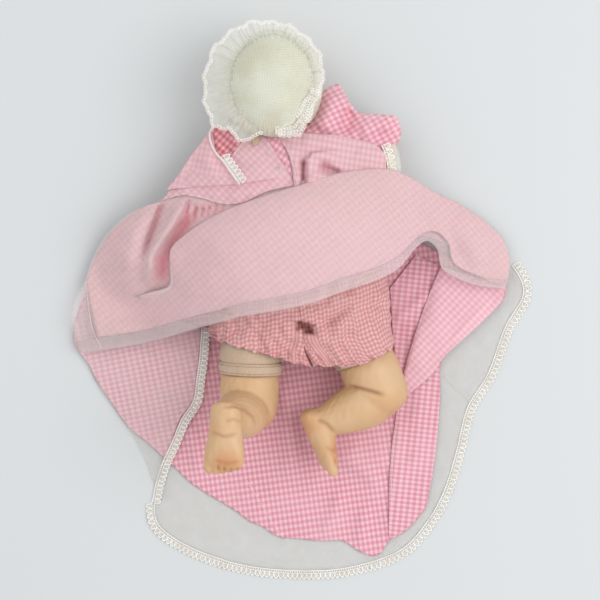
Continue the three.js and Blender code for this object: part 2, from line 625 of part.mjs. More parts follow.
const ARMS = {
  left: { shoulder: LEFT_SHOULDER, elbow: LEFT_ELBOW, hand: LEFT_HAND, thumb: 1 },
  right: { shoulder: RIGHT_SHOULDER, elbow: RIGHT_ELBOW, hand: RIGHT_HAND, thumb: -1 },
};
for (const [side, arm] of Object.entries(ARMS)) {
  const elbow = new THREE.Vector3(arm.elbow[0], arm.elbow[1], 31);
  const reach = elbow.clone().sub(arm.shoulder);
  const upper = turned([
    ...hemisphere(SHOULDER_RADIUS),
    [0, SHOULDER_RADIUS],
    [8, ARM_RADIUS - 0.4],
    [18, ARM_RADIUS + 0.4],
    [UPPER_ARM - 12, ARM_RADIUS],
    ...dome(UPPER_ARM - 8, ARM_RADIUS - 1, 10, 4),
  ]);
  const armFrame = frameAt(arm.shoulder, reach);
  const hand = new THREE.Vector3(arm.hand[0], arm.hand[1], HAND_Z);
  const turnedOut = hand.clone().sub(elbow);
  const foreFrame = frameAt(elbow, turnedOut);
  const cuff = ring(ARM_RADIUS - 4, ARM_RADIUS + 0.6, 0, ARM_CASING).applyMatrix4(foreFrame);
  const foreSpace = joined(
    turned([[-0.6, ARM_RADIUS + 1.2], [ARM_CASING + 20, ARM_RADIUS + 1.2]]).applyMatrix4(foreFrame),
  );
  addPiece(`${side}_upper_arm`, toSolid(upper.applyMatrix4(armFrame)).subtract(foreSpace), MUSLIN);
  addPiece(`${side}_arm_casing`, cuff, MUSLIN);
  addPiece(`${side}_forearm`, toGeometry(vinylForearm(arm.thumb)).applyMatrix4(foreFrame), VINYL);
}

// Bloomers: two halves joined at the centre seam, with a waist elastic
const PUFF = BLOOMER_EASE + CLOTH + 0.8;
const belowCrotch = (rings, depth) => {
  const lowest = rings[0].map((p) => p.clone().addScaledVector(spine, -depth));
  return [lowest, ...rings];
};
const pelvisOutside = toSolid(loft(belowCrotch(torsoRings(PUFF, 0.5, WAIST_AT), 4)));
const pelvisInside = toSolid(loft(belowCrotch(torsoRings(BLOOMER_EASE, 0.5, WAIST_AT + 8), 1.5)));
for (const [side, leg] of Object.entries(LEGS)) {
  const hem = BLOOMER_HEM[side];
  const inner = hemGrip(side) + ELASTIC_WALL + 0.3;
  const tubeOutside = turned([
    ...hemisphere(inner + 2),
    [0, inner + 2.2],
    [hem - 9, inner + 2.4],
    [hem - 5, inner + 1.2],
    [hem, inner + 2.2],
  ], 18).applyMatrix4(leg.placed);
  const tubeInside = turned([...hemisphere(inner), [0, inner], [hem + 40, inner]], 18);
  tubeInside.applyMatrix4(leg.placed);
  const sign = side === "left" ? -1 : 1;
  const half = new THREE.BoxGeometry(300, 500, 300).translate(sign * (150 + GAP / 2), 0, 0);
  half.applyMatrix4(frameAt(spinePoint(0), spine));
  const outside = pelvisOutside.add(toSolid(tubeOutside)).intersect(toSolid(half));
  addPiece(`bloomers_${side}`, outside.subtract(pelvisInside).subtract(toSolid(tubeInside)), GINGHAM);
}
const beltOutside = toSolid(loft(torsoRings(0.4 + ELASTIC_WALL, WAIST_AT - 7, WAIST_AT - 1)));
const beltInside = toSolid(loft(torsoRings(0.4, WAIST_AT - 20, WAIST_AT + 14)));
addPiece("bloomers_waist_elastic", beltOutside.subtract(beltInside), ELASTIC);

// Dress: skirt front spread on the floor, back pushed up in a Z fold, bodice and sleeves
// Plan outlines of the pieces as they lie.
const FRONT_WAIST = edge([[-7, 9.2], [-2, 10], [3, 10.4]]);
const FRONT_HEM = edge([
  [-22.6, 0.4], [-22.2, -5], [-17.2, -12.8], [-13.2, -16], [-8.7, -19.7], [-3.7, -22.6], [0, -23.8],
  [4.3, -24], [7.1, -25.4], [9.1, -23.9], [11.5, -22], [12.9, -18.9], [13.7, -12.9], [15.4, -7],
  [18, -2], [20.4, 1.4],
]);
const OVER_HEM = edge([
  [-21.6, -1], [-21, -7], [-16.5, -14], [-14.6, -18.6], [-14.2, -22.2], [-11.8, -24.2], [-8, -25.8],
  [-4.8, -26.5], [0.8, -26.9], [5.2, -26.5], [10.2, -24.7], [12.8, -21.9], [14.2, -19.4],
  [15.5, -15.4], [16.7, -10.7], [18.7, -7.4], [20.5, -2.6], [22.2, 0.4], [22.1, 1.8], [20.6, 4.2],
]);
const BACK_WAIST = edge([
  [-12.9, 10.02], [-10.7, 10.29], [-6.2, 10.82], [-3.3, 11.14], [-0.9, 11.51], [2.8, 12.01],
  [7.9, 12.11],
]);
const BACK_SIDE = onGrid([-19.6, 5.8]); // where the gathered left back bulges out
const FOLD_TOP = edge([
  [-21.2, 1.7], [-16, 0.8], [-12.4, 3.6], [-8.7, 7.4], [-1.6, 10], [5.7, 11.9], [10.4, 11.5],
  [15.6, 9.2], [20, 6],
]);
const BACK_HEM = edge([
  [-19.8, -5], [-13.5, -3.8], [-9.6, -2.7], [-6, -1.7], [-2.9, -1.1], [0.6, -0.6], [3.3, 0.6],
  [6, 1.5], [8.8, 2.7], [11.6, 5.2], [14, 3.6], [17.5, 1.6], [20.3, 1.4],
]);
const UNDER_FOLD = edge([
  [-20.3, -2.3], [-15, -1.8], [-11, 0], [-7.2, 2.2], [-3.6, 3.4], [0, 4.3], [4, 5.4], [8, 6],
  [11.5, 6], [15, 5], [18, 3.8], [20.2, 3.2],
]);
const LEFT_OUT = edge([
  [-22.6, -2.6], [-22.2, -5], [-20.6, -6.8], [-18.8, -9.9], [-16.8, -12.7], [-15.4, -13.9],
  [-13.2, -15.9],
]);
const LEFT_IN = edge([
  [-9.9, -3], [-10.1, -5.8], [-10.6, -9.9], [-11.9, -11.9], [-12.8, -14.2], [-12.9, -15.7],
]);
const RIGHT_IN = edge([[9, 1], [9.2, -4.9], [9.7, -9.7], [9.2, -14.5], [8.9, -19.5], [9, -22.8]]);
const RIGHT_OUT = edge([[12.8, 3], [19.6, 0.8], [14.2, -5.8], [13.5, -12.9], [12.6, -18.6], [9.6, -23.2]]);

// Gathers run down the skirt from the waist, and fade under the doll and under the side panels.
function frontPleat(x, y, u, v) {
  const clear = THREE.MathUtils.smoothstep(-y, 95, 150) * THREE.MathUtils.smoothstep(84 - Math.abs(x), 0, 25);
  return 1.1 * clear * (1 + Math.sin(2 * Math.PI * SKIRT_PLEATS * u));
}
const OVER_Z = SHEER / 2;
const FRONT_Z = SHEER + GAP * 2 + CLOTH / 2;
const SIDE_Z = FRONT_Z + FLOOR_LAYER + 0.4;
const SIDE_OVER_Z = SIDE_Z + FLOOR_LAYER;
addCloth("overskirt_front", spanned(FRONT_WAIST, OVER_HEM, () => OVER_Z), { grid: [32, 2], ...SHEER_CLOTH });
const frontHeight = (x, y, u, v) => FRONT_Z + frontPleat(x, y, u, v);
addCloth("skirt_front", spanned(FRONT_WAIST, FRONT_HEM, frontHeight), { grid: [32, 5] });
addCloth("skirt_left_panel", spanned(LEFT_OUT, LEFT_IN, () => SIDE_Z), { grid: [10, 3] });
const sideOver = spanned(LEFT_OUT, LEFT_IN, () => SIDE_OVER_Z);
addCloth("overskirt_left_panel", sideOver, { grid: [10, 3], ...SHEER_CLOTH });
addCloth("skirt_right_panel", spanned(RIGHT_IN, RIGHT_OUT, () => SIDE_Z), { grid: [14, 3] });

// Lace sewn to an edge, lying outside it; `sign` chooses the side of the edge.
function laceAlong(curve, from, to, z, sign) {
  return (u, v) => {
    const t = from + (to - from) * u;
    const p = curve.getPointAt(t);
    const tangent = curve.getTangentAt(t);
    const normal = new THREE.Vector3(-tangent.y, tangent.x, 0).normalize();
    p.addScaledVector(normal, sign * (GAP + 0.9 + LACE_WIDTH * v));
    p.z = z;
    return p;
  };
}
const hemLace = laceAlong(OVER_HEM, 0.26, 0.97, SHEER / 2, -1);
addCloth("overskirt_hem_lace", hemLace, { grid: [36, 1], ...LACE_CLOTH });
const sideLace = laceAlong(LEFT_IN, 0.3, 0.97, SIDE_OVER_Z, 1);
addCloth("overskirt_left_lace", sideLace, { grid: [14, 1], ...LACE_CLOTH });

// The back of the skirt: down from the waist, up to the top fold and down again to the hem.
const TURN = 1.6; // how far the cloth runs past a fold line
const GATHERS = 7; // along the whole back waist
const GATHER_RISE = 2.6;
const FOLD_CLEAR = 5; // gathers start this far outside the top fold
function backHeight(n, x, y) {
  return OVER_BASE + mound(x, y) + n * LAYER;
}
function flapFold(u, v) {
  const swellings = Math.max(0, Math.sin(2 * Math.PI * (3.5 * u + 0.1)));
  return 2.2 * swellings * Math.sin(Math.PI * Math.min(v * 1.1, 1));
}
// How far a plan point lies outside the top fold, on the side of the waist.
const foldPoints = FOLD_TOP.getSpacedPoints(80);
function clearOfFold(p) {
  let nearest = 1e9;
  let side = 1;
  for (let i = 0; i + 1 < foldPoints.length; i++) {
    const [a, b] = [foldPoints[i], foldPoints[i + 1]];
    const distance = distanceToSegment(p.x, p.y, [a.x, a.y], [b.x, b.y]);
    if (distance < nearest) {
      nearest = distance;
      side = Math.sign((b.x - a.x) * (p.y - a.y) - (b.y - a.y) * (p.x - a.x));
    }
  }
  return side * nearest;
}
const underFold = (u) => UNDER_FOLD.getPointAt(u);
function waistDown(u, t) {
  const from = BACK_WAIST.getPointAt(u);
  const to = underFold(u);
  const bulge = Math.max(0, 1 - u / 0.35) ** 2;
  const middle = from.clone().lerp(to, 0.5);
  middle.lerp(BACK_SIDE, bulge);
  const a = from.lerp(middle, t);
  return a.lerp(middle.lerp(to, t), t);
}
const FOLD_ROWS = [
  ...[0, 0.14, 0.28, 0.42, 0.56, 0.7, 0.85, 1].map((t) => ["down", t]),
  ["turn_under", 0],
  ...[0, 0.25, 0.5, 0.75, 1].map((t) => ["up", t]),
  ["turn_over", 0],
  ...[0, 0.25, 0.5, 0.75, 1].map((t) => ["flap", t]),
];
function skirtBack(u, v) {
  const [part, t] = FOLD_ROWS[Math.round(v * (FOLD_ROWS.length - 1))];
  const top = FOLD_TOP.getPointAt(u);
  const hem = BACK_HEM.getPointAt(u);
  const under = underFold(u);
  const run = hem.clone().sub(top).normalize();
  let p;
  let n;
  let extra = 0;
  if (part === "down") {
    p = waistDown(u, t);
    n = 0;
    const open = THREE.MathUtils.smoothstep(clearOfFold(p), FOLD_CLEAR, FOLD_CLEAR + GATHER_RISE * 4);
    extra = GATHER_RISE * open * (1 + Math.sin(2 * Math.PI * GATHERS * u)) * Math.min(1, 4 * t);
  } else if (part === "turn_under") {
    p = under.addScaledVector(run, TURN);
    n = 0.5;
  } else if (part === "up") {
    p = under.lerp(top, t);
    n = 1;
  } else if (part === "turn_over") {
    p = top.addScaledVector(run, -TURN);
    n = 1.5;
  } else {
    p = top.lerp(hem, t);
    n = 2;
    extra = flapFold(u, t);
  }
  p.z = backHeight(n, p.x, p.y) + extra;
  return p;
}
addCloth("skirt_back", skirtBack, { grid: [24, FOLD_ROWS.length - 1] });

const OVER_LEVEL = 2.6; // layers up from the back
const SHEER_OVERHANG = 12; // organdie shows below the gingham hem
function overskirtBack(u, v) {
  const top = FOLD_TOP.getPointAt(u);
  const hem = BACK_HEM.getPointAt(u);
  const run = hem.clone().sub(top);
  const length = run.length() + SHEER_OVERHANG * Math.sin(Math.PI * u) ** 0.5;
  const p = top.addScaledVector(run.normalize(), length * v);
  p.z = backHeight(OVER_LEVEL, p.x, p.y) + flapFold(u, v);
  return p;
}
addCloth("overskirt_back", overskirtBack, { grid: [24, 4], ...SHEER_CLOTH });

// Bodice and sleeves
const onBack = (n) => (x, y) => backHeight(n, x, y);
const BODICE_LEFT_IN = edge([[-3.3, 14.6], [-2.5, 13.8], [-1.5, 12.6], [-1, 11.6]]);
const BODICE_LEFT_OUT = edge([[-7.3, 14.8], [-6.9, 13.5], [-6.2, 12.3], [-5.5, 10.9]]);
const bodiceLeft = spanned(BODICE_LEFT_IN, BODICE_LEFT_OUT, onBack(0));
addCloth("bodice_back_left", bodiceLeft, { grid: [8, 6] });
const BODICE_RIGHT_TOP = edge([[-2.6, 14.6], [0.4, 15.3], [3.4, 15.4], [5.1, 15.1], [7, 14.3], [8, 13.5]]);
const BODICE_RIGHT_LOW = edge([
  [-0.6, 11.7], [0.9, 11.9], [2.8, 12.1], [4.6, 12.2], [6.5, 12.2], [7.9, 12.2],
]);
const bodiceRight = spanned(BODICE_RIGHT_TOP, BODICE_RIGHT_LOW, onBack(0));
addCloth("bodice_back_right", bodiceRight, { grid: [10, 4] });
const SLEEVE_LEFT_IN = edge([[-7.4, 14.84], [-7, 13.53], [-6.3, 12.33], [-5.6, 10.94]]);
const SLEEVE_LEFT_OUT = edge([[-9.2, 15.2], [-10.7, 13.9], [-11.8, 12], [-13, 10.1]]);
const sleeveLeft = spanned(SLEEVE_LEFT_IN, SLEEVE_LEFT_OUT, onBack(0));
addCloth("sleeve_left", sleeveLeft, { grid: [8, 4] });
const SLEEVE_RIGHT_IN = edge([[1.3, 15.44], [3.4, 15.51], [5.14, 15.2], [7.06, 14.39]]);
const SLEEVE_RIGHT_OUT = edge([
  [2, 19.3], [3.1, 20.4], [4.2, 19.9], [5.7, 17.9], [6.9, 17.8], [9, 17.5], [9.5, 16],
]);
function sleeveRightHeight(x, y, u, v) {
  const lobes = 7 * Math.sin(2 * Math.PI * 1.5 * u) * Math.sin(Math.PI * Math.min(v, 0.9));
  const start = SLEEVE_RIGHT_IN.getPointAt(u);
  return (1 - v) * backHeight(0, start.x, start.y) + v * 40 + lobes;
}
const sleeveRight = spanned(SLEEVE_RIGHT_IN, SLEEVE_RIGHT_OUT, sleeveRightHeight);
addCloth("sleeve_right", sleeveRight, { grid: [16, 4] });
const LACE_LEFT_IN = edge([[-5.8, 12.8], [-5.2, 12.1], [-4.7, 11.2]]);
const LACE_LEFT_OUT = edge([[-6.6, 12.6], [-6, 11.9], [-5.4, 11.1]]);
const laceLeft = spanned(LACE_LEFT_IN, LACE_LEFT_OUT, onBack(0.37));
addCloth("sleeve_left_lace", laceLeft, { grid: [6, 2], ...LACE_CLOTH });
const LACE_RIGHT_IN = edge([[8.09, 13.46], [8.05, 12.9], [7.99, 12.25]]);
const LACE_RIGHT_OUT = edge([[8.8, 14.1], [9.05, 13.2], [8.8, 12.5]]);
const laceRight = spanned(LACE_RIGHT_IN, LACE_RIGHT_OUT, onBack(0));
addCloth("sleeve_right_lace", laceRight, { grid: [6, 2], ...LACE_CLOTH });
const FRONT_LOW = edge([[-6.2, 7.6], [-1.8, 8], [2.6, 8.4]]);
const FRONT_TOP = edge([[-7.2, 13.6], [-3.6, 14.1], [0.6, 13.8]]);
addCloth("bodice_front", spanned(FRONT_LOW, FRONT_TOP, () => SIDE_Z), { grid: [8, 4] });

// Snaps sewn to the left back edge.
const SNAP_RADIUS = 2.4;
const SNAP_HEIGHT = 1.4;
[["upper", 0.3], ["lower", 0.75]].forEach(([name, u]) => {
  const v = 0.14;
  const p = bodiceLeft(u, v);
  const du = bodiceLeft(u + 0.01, v).sub(p);
  const dv = bodiceLeft(u, v + 0.01).sub(p);
  const normal = du.cross(dv).normalize();
  if (normal.z < 0) normal.negate();
  p.addScaledVector(normal, CLOTH / 2 + GAP + 0.15);
  const snap = turned([
    [0, SNAP_RADIUS],
    [SNAP_HEIGHT * 0.6, SNAP_RADIUS * 0.9],
    [SNAP_HEIGHT, SNAP_RADIUS * 0.45],
  ]);
  const seat = frameAt(p, normal, new THREE.Vector3(0, 1, 0));
  addPiece(`back_snap_${name}`, snap.applyMatrix4(seat), SNAP_METAL);
});

export default doll;
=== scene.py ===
# %% [markdown]
# A soft-bodied baby doll lies face down on a pale table in its bonnet, gingham dress and bloomers. The CAD
# model gives every piece its place and its joint. This lesson dresses that frame: each soft solid is
# replaced by a finer piece of cloth, vinyl or lace that sits where the solid is, and every piece rides on a
# body of the frame.

# %% Load the frame
import math

import bmesh
import bpy
import numpy as np
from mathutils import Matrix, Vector
from mathutils.bvhtree import BVHTree


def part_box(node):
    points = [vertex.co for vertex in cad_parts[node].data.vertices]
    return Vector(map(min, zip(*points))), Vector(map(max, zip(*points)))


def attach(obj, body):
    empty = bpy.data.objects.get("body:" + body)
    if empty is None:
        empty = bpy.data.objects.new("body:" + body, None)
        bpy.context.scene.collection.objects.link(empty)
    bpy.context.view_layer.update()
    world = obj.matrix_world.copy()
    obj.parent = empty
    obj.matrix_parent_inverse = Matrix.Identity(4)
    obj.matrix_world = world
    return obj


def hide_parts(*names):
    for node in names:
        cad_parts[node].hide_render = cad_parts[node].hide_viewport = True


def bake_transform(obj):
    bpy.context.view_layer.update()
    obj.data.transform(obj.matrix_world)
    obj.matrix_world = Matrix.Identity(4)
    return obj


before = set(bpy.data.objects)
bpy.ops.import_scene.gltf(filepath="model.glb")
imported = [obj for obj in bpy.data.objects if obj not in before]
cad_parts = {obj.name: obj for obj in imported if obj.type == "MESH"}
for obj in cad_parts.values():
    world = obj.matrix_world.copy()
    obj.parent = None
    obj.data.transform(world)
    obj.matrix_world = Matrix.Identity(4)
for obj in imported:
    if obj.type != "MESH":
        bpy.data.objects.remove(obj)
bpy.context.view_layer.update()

MM = 0.001

# %% [markdown]
# The photograph looks straight down. A camera 1.3 m above the table with a 78 mm lens sees 600 mm of the
# table, so one pixel is one millimetre there. Outlines below are written as they are seen from that camera,
# in millimetres on the table, and `lift` carries each point up its own sight line to the height of the
# cloth.

# %% Camera
CAMERA_HEIGHT = 1300.0
SEEN_HALF = 300.0
SENSOR = 36.0

camera_data = bpy.data.cameras.new("overhead_camera")
camera_data.sensor_width = SENSOR
camera_data.lens = SENSOR * CAMERA_HEIGHT / (2 * SEEN_HALF)
camera = bpy.data.objects.new("overhead_camera", camera_data)
camera.location = (0, 0, CAMERA_HEIGHT * MM)
bpy.context.scene.collection.objects.link(camera)
bpy.context.scene.camera = camera
print("lens", round(camera_data.lens, 1), "mm")

# %% [markdown]
# The light is a bright, overcast room: a pale world, one wide lamp high on the right and a weaker one on
# the left. The table is a plain pale sheet that keeps the soft shadow of the doll.

# %% Light and table
scene = bpy.context.scene
scene.view_settings.view_transform = "Standard"
TABLE_COLOUR = (0.665, 0.68, 0.68)
TABLE_HALF = 4.0
LAMPS = {  # place in metres, size in metres, power in watts
    "window_lamp": ((1.3, 0.0, 1.8), 1.8, 22.5),
    "fill_lamp": ((-1.0, 0.5, 1.9), 2.0, 8),
}

world = bpy.data.worlds.new("pale_room")
scene.world = world
world.use_nodes = True
world.node_tree.nodes["Background"].inputs["Color"].default_value = (0.95, 0.97, 1.0, 1)
world.node_tree.nodes["Background"].inputs["Strength"].default_value = 0.72

for name, (place, size, power) in LAMPS.items():
    lamp = bpy.data.lights.new(name, "AREA")
    lamp.shape = "DISK"
    lamp.size = size
    lamp.energy = power
    holder = bpy.data.objects.new(name, lamp)
    holder.location = place
    holder.rotation_euler = (-Vector(place)).to_track_quat("-Z", "Y").to_euler()
    scene.collection.objects.link(holder)

table_mesh = bpy.data.meshes.new("table_top")
corners = [(-1, -1), (1, -1), (1, 1), (-1, 1)]
table_mesh.from_pydata([(x * TABLE_HALF, y * TABLE_HALF, 0) for x, y in corners], [], [(0, 1, 2, 3)])
table = bpy.data.objects.new("table_top", table_mesh)
scene.collection.objects.link(table)

table_finish = bpy.data.materials.new("table_finish")
table_finish.use_nodes = True
table_shader = table_finish.node_tree.nodes["Principled BSDF"]
table_shader.inputs["Base Color"].default_value = (*TABLE_COLOUR, 1)
table_shader.inputs["Roughness"].default_value = 0.9
table_shader.inputs["Specular IOR Level"].default_value = 0.1
table_mesh.materials.append(table_finish)

# %% [markdown]
# Three small tools do most of the work. `edge` draws a smooth line through plan points, `folds` adds ridges
# and valleys along strokes drawn on the cloth, and `ripple` is a fixed sum of waves that keeps wide cloth
# from looking flat. All of them work on whole NumPy arrays, so a piece with ten thousand points is one
# call.

# %% Plan tools
def edge(points, paired=False, samples=24):
    """A smooth line through plan points, as a function of a share 0..1 of its length.

    With paired, the share runs evenly over the points, so that lines drawn in pairs stay paired."""
    p = np.array(points, float)
    p = np.vstack([2 * p[0] - p[1], p, 2 * p[-1] - p[-2]])
    step = np.sqrt(np.linalg.norm(np.diff(p, axis=0), axis=1))
    knot = np.concatenate([[0], np.cumsum(step)])
    line = [p[1]]
    for i in range(1, len(p) - 2):
        t = np.linspace(knot[i], knot[i + 1], samples + 1)[1:, None]

        def mix(a, b, ta, tb):
            return (tb - t) / (tb - ta) * a + (t - ta) / (tb - ta) * b

        a = [mix(p[i + k - 1], p[i + k], knot[i + k - 1], knot[i + k]) for k in range(3)]
        b = [mix(a[k], a[k + 1], knot[i + k - 1], knot[i + k + 1]) for k in range(2)]
        line.extend(mix(b[0], b[1], knot[i], knot[i + 1]))
    line = np.array(line)
    reach = np.concatenate([[0], np.cumsum(np.linalg.norm(np.diff(line, axis=0), axis=1))])
    if paired:
        reach = np.linspace(0, 1, len(line))

    def at(share):
        s = np.asarray(share) * reach[-1]
        return np.stack([np.interp(s, reach, line[:, k]) for k in range(line.shape[1])], -1)

    return at


def smooth(x, low, high):
    t = np.clip((np.asarray(x, float) - low) / (high - low), 0, 1)
    return t * t * (3 - 2 * t)


def to_line(x, y, points):
    """Distance to a line of plan points, the share along it, and the side (+ is left)."""
    best = np.full(np.shape(x), 1e9)
    share = np.zeros_like(best)
    side = np.ones_like(best)
    p = np.array(points, float)
    lengths = np.linalg.norm(np.diff(p, axis=0), axis=1)
    start = np.concatenate([[0], np.cumsum(lengths)]) / lengths.sum()
    for a, b, s0, s1 in zip(p[:-1], p[1:], start[:-1], start[1:]):
        d = b - a
        t = np.clip(((x - a[0]) * d[0] + (y - a[1]) * d[1]) / (d @ d), 0, 1)
        away = np.hypot(x - a[0] - t * d[0], y - a[1] - t * d[1])
        near = away < best
        best = np.where(near, away, best)
        share = np.where(near, s0 + t * (s1 - s0), share)
        side = np.where(near, np.sign(d[0] * (y - a[1]) - d[1] * (x - a[0])), side)
    return best, share, side


def folds(x, y, strokes):
    """Height of ridges (+) and valleys (-): each stroke is (points, height, width).

    A fourth number makes a tuck instead: only the left of the stroke rises, over that distance."""
    z = np.zeros(np.shape(x))
    for points, height, width, *sharp in strokes:
        away, share, side = to_line(x, y, points)
        taper = smooth(share, -0.02, 0.2) * smooth(1 - share, -0.02, 0.25)
        rise = height * taper * np.exp(-((away / width) ** 2))
        if sharp:
            rise = rise * (0.5 + 0.5 * np.tanh(side * away / sharp[0]))
        z = z + rise
    return z


def split(plan):
    """The x and y of an array of plan points."""
    return plan[..., 0], plan[..., 1]


def ripple(x, y, wavelength, seed, waves=9):
    """Smooth unevenness of height about 1 made of plane waves in fixed random directions."""
    draw = np.random.default_rng(seed)
    z = np.zeros(np.shape(x))
    for _ in range(waves):
        turn, phase = draw.uniform(0, 2 * math.pi, 2)
        k = 2 * math.pi / (wavelength * draw.uniform(0.7, 1.5))
        z = z + np.sin(k * (x * math.cos(turn) + y * math.sin(turn)) + phase)
    return z / math.sqrt(waves)


def lift(seen, height, extra=0.0):
    """Carry points seen on the table up their sight lines to the height of the cloth there."""
    scale = np.ones(seen.shape[:-1])
    for _ in range(5):
        z = height(seen[..., 0] * scale, seen[..., 1] * scale) + extra
        scale = 1 - z / CAMERA_HEIGHT
    return np.concatenate([seen * scale[..., None], z[..., None]], -1)


def spanned(first, second, across, down):
    """Plan points between two edges, as an array of across x down points."""
    u = np.linspace(0, 1, across)
    v = np.linspace(0, 1, down)
    a, b = first(u)[:, None], second(u)[:, None]
    return a + (b - a) * v[None, :, None]

# %% [markdown]
# Cloth starts as a net of points with a thread direction. The net becomes quads, the thread direction
# becomes the UV map `grain` in units of 100 mm, and a Solidify modifier gives the sheet its own thickness.
# Nothing is scaled or moved afterwards: every object sits at the origin and its place is in its mesh.

# %% Mesh tools
GRAIN_UNIT = 100.0


def add_object(name, mesh, material=None):
    piece = bpy.data.objects.new(name, mesh)
    scene.collection.objects.link(piece)
    if material is not None:
        mesh.materials.append(material)
    return piece


def threads(points, turn=0.0, planar=False, column=None):
    """Thread coordinates of a net: lengths along its two directions, or its plan, turned by an angle."""
    if planar:
        u, v = points[..., 0], points[..., 1]
    else:
        du = np.linalg.norm(np.diff(points, axis=0), axis=2)
        du = du.mean(1) if column is None else du[:, column]
        dv = np.linalg.norm(np.diff(points, axis=1), axis=2)
        u = np.concatenate([[0], np.cumsum(du)])[:, None] * np.ones(points.shape[:2])
        v = np.concatenate([np.zeros((len(points), 1)), np.cumsum(dv, 1)], 1)
    c, s = math.cos(math.radians(turn)), math.sin(math.radians(turn))
    return np.stack([c * u - s * v, s * u + c * v], -1)


def net_mesh(name, points, grain=None, loop=False):
    """Quads over an array of points in mm. With loop, the last row of points is the first one again."""
    rows, columns = points.shape[:2]
    kept = rows - 1 if loop else rows
    i, j = np.meshgrid(np.arange(rows - 1), np.arange(columns - 1), indexing="ij")
    corner = [(i, j), (i + 1, j), (i + 1, j + 1), (i, j + 1)]
    faces = np.stack([(a % kept) * columns + b for a, b in corner], -1).reshape(-1, 4)
    mesh = bpy.data.meshes.new(name)
    mesh.from_pydata((points[:kept].reshape(-1, 3) * MM).tolist(), [], faces.tolist())
    grain = threads(points) if grain is None else grain
    layer = mesh.uv_layers.new(name="grain")
    uv = np.stack([grain[a, b] for a, b in corner], 2).reshape(-1, 2) / GRAIN_UNIT
    layer.data.foreach_set("uv", uv.astype(np.float32).ravel())
    mesh.shade_smooth()
    return mesh


def face_up(mesh):
    """Turn a sheet's faces so that most of them look up."""
    total = sum(p.normal.z * p.area for p in mesh.polygons)
    if total < 0:
        mesh.flip_normals()
    return mesh


def thicken(piece, thickness):
    wall = piece.modifiers.new("cloth_thickness", "SOLIDIFY")
    wall.thickness = thickness * MM
    wall.offset = 0
    wall.use_even_offset = False
    return piece


def cloth(name, points, material, thickness=0.5, grain=None, loop=False):
    piece = add_object(name, face_up(net_mesh(name, points, grain, loop)), material)
    return thicken(piece, thickness)


def plain(piece):
    """Evaluate an object's modifiers into a plain mesh."""
    bpy.context.view_layer.update()
    graph = bpy.context.evaluated_depsgraph_get()
    mesh = bpy.data.meshes.new_from_object(piece.evaluated_get(graph), depsgraph=graph)
    piece.modifiers.clear()
    old, piece.data = piece.data, mesh
    bpy.data.meshes.remove(old)
    return piece


def belongs(piece, body, slot, *nodes):
    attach(piece, body)
    if nodes:
        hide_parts(*nodes)
    return piece


def cloth_area(piece):
    return sum(p.area for p in piece.data.polygons)


def mark(mesh, name, values):
    """Keep one number per point for the finish to read."""
    layer = mesh.attributes.new(name, "FLOAT", "POINT")
    layer.data.foreach_set("value", np.asarray(values, np.float32).ravel())


# %% [markdown]
# The finishes are small node trees on one Principled shader each. `Finish` keeps them readable: every call
# adds one node and returns its output. Colours are written as they look on the screen and turned to linear
# light.

# %% Finish helper
def tone(red, green, blue):
    def linear(c):
        c /= 255
        return c / 12.92 if c <= 0.04045 else ((c + 0.055) / 1.055) ** 2.4

    return (linear(red), linear(green), linear(blue), 1)


